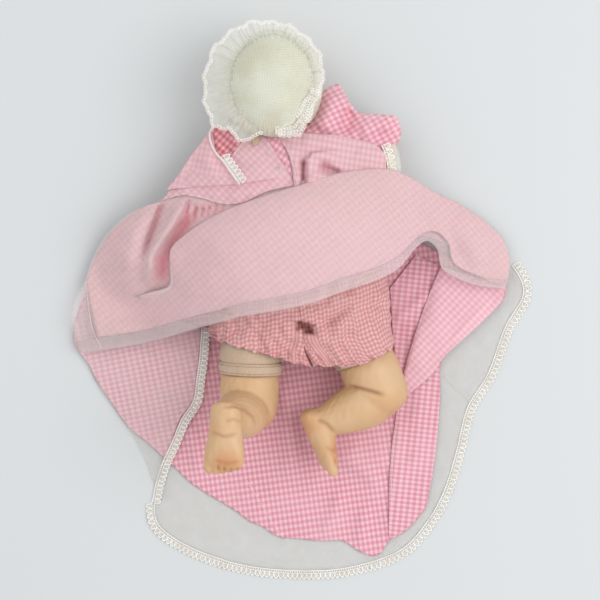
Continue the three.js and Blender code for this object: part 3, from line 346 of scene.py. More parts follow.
class Finish:
    def __init__(self, name, **sockets):
        self.material = bpy.data.materials.new(name)
        self.material.use_nodes = True
        self.tree = self.material.node_tree
        self.shader = self.tree.nodes["Principled BSDF"]
        for socket, value in sockets.items():
            self.shader.inputs[socket.replace("_", " ")].default_value = value

    def feed(self, socket, value):
        if isinstance(value, bpy.types.NodeSocket):
            self.tree.links.new(value, socket)
        else:
            socket.default_value = value

    def node(self, kind, inputs=(), **settings):
        made = self.tree.nodes.new(kind)
        for key, value in settings.items():
            setattr(made, key, value)
        for key, value in dict(inputs).items():
            self.feed(made.inputs[key], value)
        return made

    def maths(self, operation, a, b=0.0):
        return self.node("ShaderNodeMath", {0: a, 1: b}, operation=operation).outputs[0]

    def remap(self, value, low, high, to_low=0.0, to_high=1.0, kind="SMOOTHSTEP"):
        inputs = {"Value": value, "From Min": low, "From Max": high, "To Min": to_low, "To Max": to_high}
        return self.node("ShaderNodeMapRange", inputs, interpolation_type=kind).outputs["Result"]

    def blend(self, share, a, b, kind="MIX"):
        mixer = self.node("ShaderNodeMix", data_type="RGBA", blend_type=kind)
        for index, value in ((0, share), (6, a), (7, b)):
            self.feed(mixer.inputs[index], value)
        return mixer.outputs[2]

    def ramp(self, share, stops):
        made = self.node("ShaderNodeValToRGB", {"Fac": share})
        ramp = made.color_ramp
        while len(ramp.elements) < len(stops):
            ramp.elements.new(0.5)
        for element, (place, colour) in zip(ramp.elements, stops):
            element.position = place
            element.color = colour
        return made.outputs["Color"]

    def grain(self):
        """The thread coordinates in mm."""
        uv = self.node("ShaderNodeUVMap", uv_map="grain").outputs["UV"]
        parts = self.node("ShaderNodeSeparateXYZ", {0: uv})
        return [self.maths("MULTIPLY", parts.outputs[k], GRAIN_UNIT) for k in (0, 1)]

    def noise(self, size, detail=3.0, where=None):
        """Noise with features about `size` mm across, on Object coordinates."""
        where = where or self.node("ShaderNodeTexCoord").outputs["Object"]
        inputs = {"Vector": where, "Scale": 1000.0 / size, "Detail": detail}
        return self.node("ShaderNodeTexNoise", inputs).outputs["Fac"]

    def attribute(self, name):
        return self.node("ShaderNodeAttribute", attribute_name=name).outputs["Fac"]

    def wave(self, value, period):
        """A sine of the value with this period, from -1 to 1."""
        return self.maths("SINE", self.maths("MULTIPLY", value, 2 * math.pi / period))

    def stripe(self, value, period, soft=0.12):
        """1 on half of each period and 0 on the other half, with soft edges."""
        share = self.maths("FRACT", self.maths("DIVIDE", value, period))
        away = self.maths("MULTIPLY", self.maths("ABSOLUTE", self.maths("SUBTRACT", share, 0.5)), 2)
        return self.remap(away, 0.5 - soft, 0.5 + soft)

    def bump(self, height, distance, strength=1.0):
        made = self.node("ShaderNodeBump",
                         {"Height": height, "Distance": distance * MM, "Strength": strength})
        self.feed(self.shader.inputs["Normal"], made.outputs["Normal"])

    def colour(self, value):
        self.feed(self.shader.inputs["Base Color"], value)


# %% [markdown]
# Gingham is woven from white and pink yarns in equal stripes both ways: where two pink stripes cross the
# cloth is full pink, where they cross white it is half, and the rest is white. The check here is 4.75 mm by
# 6.1 mm, because the loom packs one direction tighter. A fine over-and-under bump and a slow fading keep it
# from looking printed.

# %% Cloth finishes
CHECK_ACROSS = 4.75
CHECK_ALONG = 6.1
YARN = 0.55


def gingham(name, deep, half, pale, roughness=0.92, across=CHECK_ACROSS, along=CHECK_ALONG, painted_shade=None):
    f = Finish(name, Roughness=roughness, Specular_IOR_Level=0.15, Sheen_Weight=0.12, Sheen_Roughness=0.6)
    u, v = f.grain()
    pink = f.maths("ADD", f.stripe(u, across), f.stripe(v, along))
    pink = f.maths("MULTIPLY", pink, 0.5)
    uneven = f.maths("MULTIPLY", f.maths("SUBTRACT", f.noise(2.2, 2.0), 0.5), 0.35)
    check = f.ramp(f.maths("ADD", pink, uneven), [(0.06, pale), (0.5, half), (0.94, deep)])
    faded = f.remap(f.noise(60.0), 0.35, 0.75, 0.0, 0.22)
    check = f.blend(faded, check, pale)
    if painted_shade:  # deeper pink as painted shade where the mesh marks the inside of a gather
        check = f.blend(f.maths("MULTIPLY", f.attribute("painted_shade"), 0.75), check, painted_shade)
    f.colour(check)
    weave = f.maths("MULTIPLY", f.wave(u, YARN), f.wave(v, YARN))
    crumple = f.maths("MULTIPLY", f.noise(7.0, 2.0), 3.0)
    f.bump(f.maths("ADD", weave, crumple), 0.12, 0.55)
    return f.material


def organdie(name, colour, cover, roughness=0.75, marked=False):
    f = Finish(name, Roughness=roughness, Specular_IOR_Level=0.2, Sheen_Weight=0.15, Sheen_Roughness=0.5)
    u, v = f.grain()
    yellowed = f.remap(f.noise(80.0), 0.4, 0.75, 0.0, 0.5)
    f.colour(f.blend(f.maths("MULTIPLY", yellowed, 0.6), colour, tone(226, 222, 204)))
    weave = f.maths("ADD", f.wave(u, 0.9), f.wave(v, 0.9))
    creases = f.maths("MULTIPLY", f.noise(9.0, 3.0), 5.0)
    f.bump(f.maths("ADD", weave, creases), 0.15, 0.6)
    threadlike = f.maths("MULTIPLY", weave, 0.06 * cover)
    patchy = f.remap(f.noise(16.0, 2.0), 0.2, 0.8, 0.8 * cover, 1.2 * cover, "LINEAR")
    alpha = f.maths("ADD", patchy, threadlike)
    if marked:  # thinner where the gathers get painted shade; denser and whiter on a doubled edge and as a painted highlight on a ridge
        thinner = f.maths("SUBTRACT", 1.0, f.maths("MULTIPLY", f.attribute("painted_shade"), 0.8))
        alpha = f.maths("MULTIPLY", alpha, thinner)
        alpha = f.maths("ADD", alpha, f.maths("MULTIPLY", f.attribute("doubled_and_painted_highlight"), 0.45))
    f.feed(f.shader.inputs["Alpha"], alpha)
    return f.material


def woven(name, colour, worn, yarn, roughness=0.95, bump=0.15):
    """A plain woven or knitted cloth of one colour with worn patches."""
    f = Finish(name, Roughness=roughness, Specular_IOR_Level=0.12, Sheen_Weight=0.1, Sheen_Roughness=0.7)
    u, v = f.grain()
    lint = f.remap(f.noise(1.6, 2.0), 0.3, 0.7, 0.0, 0.3)
    patch = f.remap(f.noise(24.0), 0.35, 0.7)
    f.colour(f.blend(lint, f.blend(patch, colour, worn), tone(240, 236, 226)))
    weave = f.maths("MULTIPLY", f.wave(u, yarn), f.wave(v, yarn))
    f.bump(f.maths("ADD", weave, f.maths("MULTIPLY", f.noise(5.0), 2.0)), bump, 0.6)
    return f.material


PINK = gingham("pink_gingham", tone(222, 142, 158), tone(231, 170, 182), tone(243, 200, 208))
# a shaded copy of the gingham: painted shade for the inside of the left armhole
PINK_SHADE = gingham("pink_gingham_shaded_copy", tone(214, 104, 120), tone(226, 142, 152), tone(242, 194, 198))
# its last colour is the painted shade deep in the gathers of the skirt back
PINK_COVERED = gingham(
    "pink_gingham_under_organdie", tone(226, 174, 180), tone(229, 184, 189), tone(233, 194, 198),
    painted_shade=tone(222, 128, 140))
PINK_BODICE = gingham("pink_gingham_bodice", tone(222, 172, 178), tone(226, 182, 187), tone(232, 195, 198))
# a paler copy of the gingham: painted light on the upper folded layer at the right corner
PINK_PALE = gingham("pink_gingham_painted_light", tone(234, 172, 184), tone(239, 187, 197), tone(246, 203, 211))
# its last colour is the painted shade in the crotch pit and along the centre seam of the bloomers
DUSTY_PINK = gingham(
    "bloomers_gingham", tone(207, 136, 136), tone(216, 158, 157), tone(230, 187, 184), across=3.9, along=4.4,
    painted_shade=tone(158, 84, 80))
SHEER_FINISH = organdie("white_organdie", tone(250, 240, 238), 0.2)
# thinner over the painted shade of the gathers, denser on painted highlights
SHEER_BACK = organdie("organdie_over_gathers", tone(255, 236, 235), 0.2, marked=True)
SHEER_FLOOR = organdie("organdie_single", tone(240, 235, 229), 0.2)
SHEER_RUFFLE = organdie("bonnet_ruffle_cloth", tone(246, 245, 234), 0.36)
SHEER_HEM = organdie("organdie_hem", tone(248, 226, 226), 0.22)
ELASTIC_FINISH = woven("knitted_elastic", tone(236, 228, 220), tone(226, 214, 204), 1.1)
print("cloth finishes:", [m.name for m in bpy.data.materials])

# %% [markdown]
# The dress lies on the doll the way a blanket lies on a hill. `mound` is that hill: it is high over the
# stuffed back, lower over each forearm, and runs out to the table. Every layer of the skirt and bodice is
# this height plus a few millimetres for the layers below it, the same rule as in the CAD model.

# %% The hill under the dress
LEAN = math.radians(9.5)
SPINE = np.array([-math.sin(LEAN), math.cos(LEAN)])
CROTCH = np.array([2.0, -24.0])
TORSO_LENGTH = 168.0
BACK_LINE = [CROTCH + SPINE * TORSO_LENGTH * share for share in (0.06, 0.786)]
LEFT_FOREARM = [(-109.15, 86.5), (-136.15, 53.5)]
RIGHT_FOREARM = [(71.56, 110.0), (83.56, 146.0)]
ARMS = {
    "left": dict(shoulder=(-65.15, 92.51, 43), elbow=(-109.15, 86.51, 31),
                 hand=(-136.15, 53.51, 24), thumb=1),
    "right": dict(shoulder=(27.56, 108.03, 43), elbow=(71.56, 110.03, 31),
                  hand=(83.56, 146.03, 24), thumb=-1),
}
SHOULDER_RADIUS, WRIST_RADIUS = 17.0, 12.0
OVER_BASE = 7.0
LAYER = 4.0
CLOTH, SHEER = 0.5, 0.25  # thickness of gingham and of organdie


def swell(away, height, reach):
    return height * np.clip(1 - (away / reach) ** 2.4, 0, 1) ** 1.8


def mound(x, y):
    up = ((x - CROTCH[0]) * SPINE[0] + (y - CROTCH[1]) * SPINE[1]) / TORSO_LENGTH
    back = swell(to_line(x, y, BACK_LINE)[0], 84, 172) * (1 - 0.25 * smooth(up, 0.357, 0.982))
    arms = [swell(to_line(x, y, line)[0], 42, 74) for line in (LEFT_FOREARM, RIGHT_FOREARM)]
    return sum(h**5 for h in (back, *arms)) ** 0.2


def over(layer):
    return lambda x, y: OVER_BASE + mound(x, y) + layer * LAYER


def at_level(level):
    return lambda x, y: level + 0 * x


def laid(name, seen, level, rise, material, turn, node=None, slot="gingham", thickness=CLOTH):
    """A sheet of the dress lying at one level above the table, its threads turned by an angle."""
    points = lift(seen, at_level(level), rise)
    piece = cloth(name, points, material, thickness, threads(points, turn, planar=True))
    return belongs(piece, "doll_body", slot, *([node] if node else []))


# %% [markdown]
# The front of the skirt is spread on the table under the doll, wrong side up, with the organdie overskirt
# lying wider beneath it. The threads follow the hem, so the check turns with it. Strokes put the soft
# ridges between the legs.

# %% Skirt front and its overskirt
FRONT_WAIST = edge([(-70, 92), (-20, 100), (30, 104)])
FRONT_HEM = edge([
    (-206, 24), (-218, -2), (-225, -24), (-226, -40), (-219, -54), (-211, -65), (-190, -100), (-170, -128),
    (-155, -140), (-132, -161), (-105, -186), (-87, -197), (-64, -211), (-51, -221), (-37, -227),
    (-21, -237), (0, -239), (22, -241), (43, -241), (51, -246),
    (61, -252), (71, -256), (80, -254), (89, -241), (104, -232), (116, -221), (126, -207), (129, -192),
    (133, -174), (135, -156), (138, -129), (140, -96), (143, -58), (183, -21), (204, 14),
])
OVER_HEM = edge([
    (-216, -10), (-210, -70), (-165, -140), (-146, -186), (-142, -222), (-118, -242), (-80, -258),
    (-48, -266), (8, -270), (52, -266), (102, -248), (128, -219), (142, -194), (155, -154), (167, -107),
    (187, -74), (205, -26), (222, 4), (221, 18), (206, 42),
])
FRONT_FOLDS = [
    ([(-20, -70), (-12, -110), (-8, -150), (-16, -185)], 6.0, 9),
    ([(-2, -90), (8, -130), (14, -175)], -1.0, 8),
    ([(30, -150), (58, -166), (86, -190)], 4.0, 7),
    ([(46, -146), (70, -155), (92, -164)], 2.2, 5),
    ([(-54, -178), (-36, -206), (-18, -237)], 1.5, 3),
    ([(-60, -190), (-48, -206), (-34, -222)], 1.8, 8),
    ([(-110, -120), (-104, -150), (-100, -178)], 3.4, 7),
    ([(20, -236), (34, -215), (40, -190)], 3.0, 6),
    ([(60, -246), (62, -226), (66, -205)], 2.8, 6),
]

seen = spanned(FRONT_WAIST, FRONT_HEM, 330, 130)
bare = smooth(-seen[..., 1], 60, 110)
rise = np.maximum(folds(*split(seen), FRONT_FOLDS), -0.6) * bare
rise = rise + bare * 0.35 * (1 + ripple(*split(seen), 26, 3))
skirt_front = laid("skirt_front_cloth", seen, 1.9, np.maximum(rise, 0), PINK, -8, "skirt_front")

seen = spanned(FRONT_WAIST, OVER_HEM, 300, 110)
outside = smooth(np.linspace(0, 1, 110), 0.82, 0.97)[None, :] * np.ones((300, 1))
rise = outside * (0.9 + 0.8 * ripple(*split(seen), 30, 5) + 0.5 * ripple(*split(seen), 12, 6))
points = lift(seen, at_level(0.55), np.maximum(rise, 0))
overskirt_front = cloth("overskirt_front_cloth", points, SHEER_FLOOR, SHEER, threads(points, column=-1))
belongs(overskirt_front, "doll_body", "organdie", "overskirt_front")
print("skirt front", round(cloth_area(skirt_front), 4), "m2")

# %% [markdown]
# At both sides the skirt folds back over itself. On the left the organdie is uppermost and the check shows
# through it. On the right the bare gingham lies in a long strip with a pleat across its top.

# %% Side panels
LEFT_OUT = edge([
    (-208, 14), (-219, -8), (-226, -30), (-225, -44), (-219, -54), (-211, -65), (-203, -80), (-190, -100),
    (-170, -128), (-155, -140), (-133, -160)])
LEFT_IN = edge([(-99, -28), (-101, -58), (-104, -80), (-107, -100), (-120, -119), (-129, -143), (-134, -158)])
RIGHT_IN = edge([
    (90, 12), (92, -25), (94, -49), (97, -82), (98, -97), (95, -123), (92, -145), (90, -171), (89, -195),
    (89, -234)])
RIGHT_OUT = edge([
    (115, 45), (160, 26), (206, 12), (201, -2), (183, -21), (143, -58), (140, -96), (138, -129), (135, -156),
    (129, -192), (124, -208), (104, -231), (90, -240)])
RIGHT_FOLDS = [
    ([(93, -22), (112, -8), (132, 8)], 2.2, 6),
    ([(98, -20), (104, -40), (106, -60)], -1.2, 6),
    ([(120, -70), (118, -120), (112, -180)], 1.6, 9),
    ([(100, -110), (98, -160), (97, -215)], 1.2, 5),
]
CORNER_IN = edge([(141, 34), (126, -2), (112, -44), (104, -72), (98, -99)])
CORNER_OUT = edge([(206, 13), (201, -2), (183, -21), (160, -42), (144, -57), (132, -74), (100, -101)])
CORNER_FOLDS = [
    ([(150, 18), (140, -10), (126, -44)], 1.4, 12),
    ([(192, 2), (168, -22), (148, -46)], 1.5, 4),
    ([(118, -30), (124, -12), (136, 12)], -1.0, 6),
]
LEFT_FOLDS = [
    ([(-200, -60), (-170, -90), (-150, -130)], 1.6, 12), ([(-150, -45), (-140, -90), (-136, -130)], 1.4, 10)]

seen = spanned(LEFT_OUT, LEFT_IN, 110, 90)
rise = np.maximum(0.5 * (1 + ripple(*split(seen), 34, 7)) + folds(*split(seen), LEFT_FOLDS), 0)
laid("skirt_left_panel_cloth", seen, 3.6, rise, PINK, 78, "skirt_left_panel")
laid("overskirt_left_cloth", seen, 4.7, rise, SHEER_FINISH, 78, "overskirt_left_panel", "organdie", SHEER)

seen = spanned(RIGHT_IN, RIGHT_OUT, 170, 60)
rise = np.maximum(folds(*split(seen), RIGHT_FOLDS) + 0.4 * (1 + ripple(*split(seen), 24, 9)), -0.6)
right_panel = laid("skirt_right_panel_cloth", seen, 3.8, rise, PINK, 96, "skirt_right_panel")
seen = spanned(CORNER_IN, CORNER_OUT, 110, 70)
edge_roll = 1.5 * np.exp(-((np.linspace(0, 1, 70) / 0.06) ** 2))[None]
rise = folds(*split(seen), CORNER_FOLDS) + 0.4 * (1 + ripple(*split(seen), 24, 10)) - edge_roll
# the upper folded layer gets the paler gingham as painted light
laid("skirt_right_corner", seen, 8.6, rise, PINK_PALE, 134)
print("side panels made")

# %% [markdown]
# The back of the skirt is pushed up in a Z: down from the waist, under, up to the top fold and down again
# as one big flap. It is made as one continuous sheet. Five lines are drawn in pairs from left to right, and
# each column of the sheet runs from the waist line round the bulge to the under fold, up to the top fold
# and down to the hem.

# %% Skirt back
BACK_LINES = {  # plan points from the doll's left to its right, as seen from above
    "waist": [
        (-138, 98), (-133, 101), (-127, 105), (-119, 106), (-110, 105), (-100, 103), (-88, 100), (-76, 97),
        (-58, 98), (-36, 108), (-10, 116), (14, 122), (28, 126), (42, 127), (52, 127), (60, 127), (68, 127),
        (76, 127), (83, 127)],
    "bulge": [
        (-194, 87), (-186, 84), (-174, 80), (-160, 79), (-143, 79), (-126, 77), (-106, 70), (-80, 66),
        (-48, 68), (-18, 76), (14, 86), (46, 94), (64, 96), (80, 96), (92, 95), (104, 91), (116, 87),
        (130, 82), (143, 77)],
    "under": [
        (-204, -24), (-174, -20), (-152, -17), (-132, -8), (-114, 2), (-97, 10), (-76, 24), (-52, 32),
        (-25, 39), (5, 47), (42, 58), (80, 65), (100, 66), (118, 66), (132, 64), (150, 56), (166, 48),
        (186, 38), (203, 28)],
    "top": [
        (-214, 17), (-172, 4), (-150, 7), (-130, 13), (-129, 32), (-128, 50), (-110, 67), (-80, 85),
        (-42, 100), (0, 113), (44, 126), (88, 129), (108, 122), (134, 106), (159, 94), (183, 78), (201, 60),
        (208, 38), (207, 18)],
    "hem": [
        (-199, -50), (-164, -45), (-138, -39), (-112, -31), (-94, -26), (-78, -22), (-60, -17), (-42, -14),
        (-18, -10), (10, -4), (42, 8), (80, 21), (99, 32), (117, 53), (127, 59), (137, 51), (142, 32),
        (172, 16), (205, 11)],
}
ORGANDIE_LEFT = {
    "waist": (-138, 98), "bulge": (-197, 88), "under": (-210, -24), "top": (-215, 20), "hem": (-219, -53)}
ORGANDIE_SWING = 12.0  # how far its left edge swings out between fold and hem
HEM_SHOWS = 13.0  # organdie below the gingham hem
TURN = 1.6  # radius of the two folds
ORGANDIE_GAP = 0.4  # layers between the gingham and the organdie over it
BACK_TURN = -38  # degrees that the threads are turned
ROLL, ROLL_OVER = 5.0, 8.0  # how the flap rounds up from its top fold
GATHER_FOLDS = [  # valleys and ridges that fan out from the waist seam
    ([(-136, 102), (-150, 63), (-159, 36)], -7, 3.4),
    ([(-150, 96), (-167, 66), (-176, 26)], 6, 12),
    ([(-114, 103), (-132, 71), (-149, 45), (-154, 10)], 13, 6.5),
    ([(-103, 92), (-122, 62), (-138, 38), (-140, 8)], -5, 6),
    ([(-111, 101), (-116, 84)], -4, 2.2),
    ([(-103, 94), (-107, 76)], -4.5, 2.2),
    ([(-96, 93), (-100, 79)], -4.5, 2.0),
    ([(-90, 95), (-92, 81)], -4, 2.0),
    ([(-83, 97), (-85, 85)], -4, 2.0),
    ([(-75, 97), (-76, 89)], -4, 2.0),
]
PAINTED_SHADE_HOLLOWS = [  # painted shade inside the gathers, where the pink is deepest: (points, share, width)
    ([(-105, 92), (-122, 64), (-136, 40), (-139, 8)], 1.0, 8.5),
    ([(-136, 101), (-150, 63), (-158, 38)], 0.8, 2.4),
    *[([(x, 98), (x - 3, 80)], 0.75, 2.2) for x in (-111, -103, -96, -90, -83, -76)],
]
# a painted highlight on the ridge of the gathers, drawn as denser organdie
PAINTED_HIGHLIGHT_RIDGE = [([(-116, 100), (-133, 70), (-149, 45), (-154, 12)], 0.35, 4)]
FLAP_FOLDS = [
    ([(-200, 2), (-150, -14), (-90, -6), (-40, 10)], -4, 14),
    ([(-196, -32), (-140, -26), (-90, -14)], 3, 10),
    ([(-110, 50), (-60, 60), (0, 80), (60, 90)], 2.5, 26),
    ([(-60, 20), (0, 36), (60, 50)], -2.5, 22),
    ([(100, 100), (124, 80), (130, 62)], 5, 14),
    ([(150, 86), (168, 60), (186, 30)], 4, 13),
    ([(120, 96), (150, 66), (160, 34)], -3, 9),
    ([(30, 116), (40, 80), (44, 40)], 1.5, 14),
]
COLUMNS = 230
DOWN_ROWS, TURN_ROWS, UP_ROWS, FLAP_ROWS = 64, 5, 16, 60
u = np.linspace(0, 1, COLUMNS)
folded = smooth(u, 0.06, 0.165)[:, None]  # at the doll's left end the skirt hangs without the fold


TOP_FOLD = edge(BACK_LINES["top"], paired=True)(np.linspace(0, 1, 90))


def rows(count):
    return np.linspace(0, 1, count)[None, :, None]


def arm_lines():
    """Axis ends and radii of the arms that the cloth has to clear."""
    for arm in ARMS.values():
        yield arm["shoulder"], arm["elbow"], SHOULDER_RADIUS, SHOULDER_RADIUS
        yield arm["elbow"], arm["hand"], SHOULDER_RADIUS, WRIST_RADIUS


def clear_of_arms(points, gap=2.5):
    """Raise the points of a cloth that would sink into an arm."""
    points = points.copy()
    for a, b, wide, narrow in arm_lines():
        away, share, _ = to_line(points[..., 0], points[..., 1], [a[:2], b[:2]])
        radius = wide + (narrow - wide) * share + gap
        top = a[2] + (b[2] - a[2]) * share + np.sqrt(np.clip(radius**2 - away**2, 0, None))
        points[..., 2] = np.where(away < radius, np.maximum(points[..., 2], top), points[..., 2])
    return points


def flap_rise(x, y):
    return np.maximum(folds(x, y, FLAP_FOLDS) + 0.8 * ripple(x, y, 55, 11)
                      + 0.25 * ripple(x, y, 16, 13), -2.4)


def run_of(net):
    """How far along its column each point of a net lies, in mm."""
    step = np.linalg.norm(np.diff(net, axis=1), axis=2)
    return np.concatenate([np.zeros((len(net), 1)), np.cumsum(step, 1)], 1)


def spread(net, reached, place):
    """A net whose columns are sampled again at other distances."""
    return np.stack([
        np.stack([np.interp(p, r, column[:, k]) for k in range(3)], -1)
        for column, r, p in zip(net, reached, place)])


def back_sheet(lines, gap, short, swing=0.0):
    """One folded sheet of the skirt back, `gap` layers outside the gingham, `short` mm shorter at the hem."""
    line = {name: edge(points, paired=True)(u)[:, None] for name, points in lines.items()}
    run = line["hem"] - line["top"]
    reach = np.linalg.norm(run, axis=2, keepdims=True)
    run = run / reach
    hem = line["hem"] - run * np.minimum(short, 0.3 * reach)
    under = line["top"] + (line["under"] - line["top"]) * folded[..., None]
    turn = np.linspace(-0.4, 0.4, TURN_ROWS) * math.pi
    round_turn = (run * np.cos(turn)[None, :, None]) * folded[..., None]
    t = rows(DOWN_ROWS)
    down = (1 - t) ** 2 * line["waist"] + 2 * t * (1 - t) * line["bulge"] + t**2 * under
    plan = np.concatenate([
        down, under + round_turn * TURN * (1 - gap), under + (line["top"] - under) * rows(UP_ROWS),
        line["top"] - round_turn * TURN * (1 + gap), line["top"] + (hem - line["top"]) * rows(FLAP_ROWS)], 1)
    flap = np.clip((np.arange(plan.shape[1]) - (plan.shape[1] - FLAP_ROWS)) / (FLAP_ROWS - 1), 0, 1)[None]
    plan[..., 0] -= swing * np.sin(math.pi * flap) * (1 - smooth(u, 0, 0.05))[:, None]
    layer = np.concatenate([
        np.full(DOWN_ROWS, gap), 0.5 + (0.5 - gap) * np.sin(turn), np.full(UP_ROWS, 1 - gap),
        1.5 + (0.5 + gap) * np.sin(turn), np.full(FLAP_ROWS, 2 + gap)])[None]
    share = np.concatenate([np.linspace(0, 1, DOWN_ROWS), np.ones(plan.shape[1] - DOWN_ROWS)])[None]
    layer = layer * folded + (gap + 2 * smooth(share, 0.35, 1)) * (1 - folded)
    x, y = plan[..., 0], plan[..., 1]
    away, _, side = to_line(x, y, TOP_FOLD)
    clear = smooth(side * away, 2, 16) * folded + (1 - smooth(share, 0.7, 1)) * (1 - folded)
    clear = clear * (np.arange(plan.shape[1]) < DOWN_ROWS)[None]
    gathers = clear * (folds(x, y, GATHER_FOLDS) + 0.7 * ripple(x, y, 18, 12))
    on_flap = (np.arange(plan.shape[1]) >= plan.shape[1] - FLAP_ROWS)[None]
    roll = ROLL * (1 - np.exp(-away / ROLL_OVER)) * on_flap * folded
    extra = layer * LAYER + gathers + np.clip(layer - 1, 0, 1) * flap_rise(x, y) + roll
    sheet = lift(plan, over(0), extra)
    reached = run_of(sheet)
    place = reached * folded + np.linspace(0, 1, sheet.shape[1])[None] * reached[:, -1:] * (1 - folded)
    return clear_of_arms(spread(sheet, reached, place), 2.5 + gap * LAYER)


points_back = back_sheet(BACK_LINES, 0.0, HEM_SHOWS)
skirt_back = cloth("skirt_back_cloth", points_back, PINK_COVERED, CLOTH,
                   threads(points_back, BACK_TURN, planar=True))
belongs(skirt_back, "doll_body", "gingham", "skirt_back")
organdie_lines = {name: [ORGANDIE_LEFT[name], *points[1:]] for name, points in BACK_LINES.items()}
points = back_sheet(organdie_lines, ORGANDIE_GAP, 0.0, ORGANDIE_SWING)
overskirt_back = cloth("overskirt_back_cloth", points, SHEER_BACK, SHEER,
                       threads(points, BACK_TURN, planar=True))
for piece, net in ((skirt_back, points_back), (overskirt_back, points)):
    x, y = np.moveaxis(net[..., :2] / (1 - net[..., 2:] / CAMERA_HEIGHT), 2, 0)
    row = np.arange(net.shape[1])[None]
    gathered = (row < DOWN_ROWS) * folded
    # the top fold is doubled organdie and also gets a painted highlight
    rim = np.exp(-((to_line(x, y, TOP_FOLD)[0] / 2.2) ** 2))
    rim = rim * (row >= net.shape[1] - FLAP_ROWS - TURN_ROWS) * (1 - smooth(u, 0.17, 0.26))[:, None] * folded
    # painted shade in the gathers, and painted highlights on the ridge and the top fold
    mark(piece.data, "painted_shade", np.clip(folds(x, y, PAINTED_SHADE_HOLLOWS), 0, 1) * gathered)
    mark(piece.data, "doubled_and_painted_highlight", np.clip(folds(x, y, PAINTED_HIGHLIGHT_RIDGE) * gathered + rim, 0, 1))
belongs(overskirt_back, "doll_body", "organdie", "overskirt_back")
reached = run_of(points)
turned_up = (spread(points, reached, reached[:, -1:] - HEM_SHOWS * np.linspace(1, 0, 9)[None])
             + np.array([0, 0, 0.5]))
overskirt_hem = cloth("overskirt_back_hem", turned_up, SHEER_HEM, SHEER,
                      threads(turned_up, BACK_TURN, planar=True))
belongs(overskirt_hem, "doll_body", "organdie")
print("skirt back", round(cloth_area(skirt_back), 4), "m2")

# %% [markdown]
# The back of the bodice is open. Its left half hangs over the waist seam in a soft roll, and its right half
# is pushed into a deep upright crease with a tuck beside it. A strip of bare facing shows between the two
# halves.

# %% Bodice
BODICE_LEFT_TOP = edge([(-104, 138), (-86, 136), (-72, 140), (-63, 152), (-54, 161), (-46, 165), (-38, 169)])
BODICE_LEFT_LOW = edge([(-139, 99), (-118, 105), (-100, 102), (-78, 96), (-58, 97), (-34, 108), (-4, 115)])
LEFT_BODICE_FOLDS = [
    ([(-140, 103), (-112, 109), (-90, 108), (-66, 106), (-36, 113)], 2.5, 5),
    ([(-124, 114), (-94, 113.5), (-62, 115.5), (-38, 119.5), (-12, 123)], 4.5, 16, 0.7),
    ([(-36, 166), (-27, 148), (-16, 135), (-9, 120)], 2.0, 4),
    ([(-62, 150), (-50, 140), (-40, 128)], 1.6, 9),
    ([(-80, 140), (-70, 130), (-60, 124)], -2.0, 6),
]
BODICE_RIGHT_TOP = edge([(-28, 166), (3, 167), (20, 166), (35, 165), (51, 162), (75, 155),
                         (85, 145), (86, 130)])
BODICE_RIGHT_LOW = edge([(-6, 112), (6, 112), (20, 114), (36, 116), (52, 117), (68, 117),
                         (80, 118), (88, 120)])
RIGHT_BODICE_FOLDS = [
    ([(42, 149), (24, 149.5), (12, 147), (6.5, 141), (5, 128), (5, 108)], 9.5, 14, 0.8),
    ([(4, 142), (4, 128), (3.5, 108)], -9, 3.2),
    ([(-14, 156), (-5, 144), (-2, 128), (-3, 110)], 3.5, 5),
    ([(18, 135), (30, 130), (42, 124)], -11, 4),
    ([(38, 122.5), (22, 125), (7, 128)], 4, 9, 0.8),
    ([(0, 160), (24, 158), (44, 154)], 1.8, 6),
    ([(56, 150), (66, 142), (74, 132)], 2.2, 7),
    ([(44, 140), (58, 133), (70, 124)], -2.0, 6),
]
FACING_LEFT = edge([(-35, 168), (-32, 152), (-22, 136), (-13, 114)])
FACING_RIGHT = edge([(-25, 168), (-10, 160), (-3, 146), (0, 114)])


def back_piece(name, edges, net, strokes, material, layer, turn, node=None, uneven=0.6, bow=0.0,
               slot="gingham"):
    """A sheet of the bodice or a sleeve, lying some layers above the hill."""
    seen = spanned(*edges, *net)
    share = np.linspace(0, 1, net[1])[None]
    seen[..., 0] += (bow * np.sin(math.pi * share**0.7)
                     * (1 - smooth(np.linspace(0, 1, net[0]), 0, 0.16))[:, None])
    rise = folds(*split(seen), strokes) + uneven * ripple(*split(seen), 17, 21)
    points = clear_of_arms(lift(seen, over(layer), rise), 2 + layer)
    piece = cloth(name, points, material, CLOTH, threads(points, turn, planar=True))
    return belongs(piece, "doll_body", slot, *([node] if node else []))


bodice_left = back_piece(
    "bodice_back_left_cloth", (BODICE_LEFT_TOP, BODICE_LEFT_LOW), (90, 56), LEFT_BODICE_FOLDS,
    PINK_BODICE, 0.6, -45, "bodice_back_left")
bodice_right = back_piece(
    "bodice_back_right_cloth", (BODICE_RIGHT_TOP, BODICE_RIGHT_LOW), (110, 56), RIGHT_BODICE_FOLDS,
    PINK_BODICE, 0.7, 8, "bodice_back_right", bow=8.0)
back_piece("back_facing_cloth", (FACING_LEFT, FACING_RIGHT), (40, 18), [], PINK, 0.5, 35, uneven=0.3)
print("bodice", bodice_left.name, bodice_right.name)

# %% [markdown]
# The sleeves are flutter frills. The left one lies flat with its organdie side out and a lace edge; past
# the lace the shaded inside of the armhole shows. The right one is flipped up in two lobes, so its bare
# gingham faces the camera.

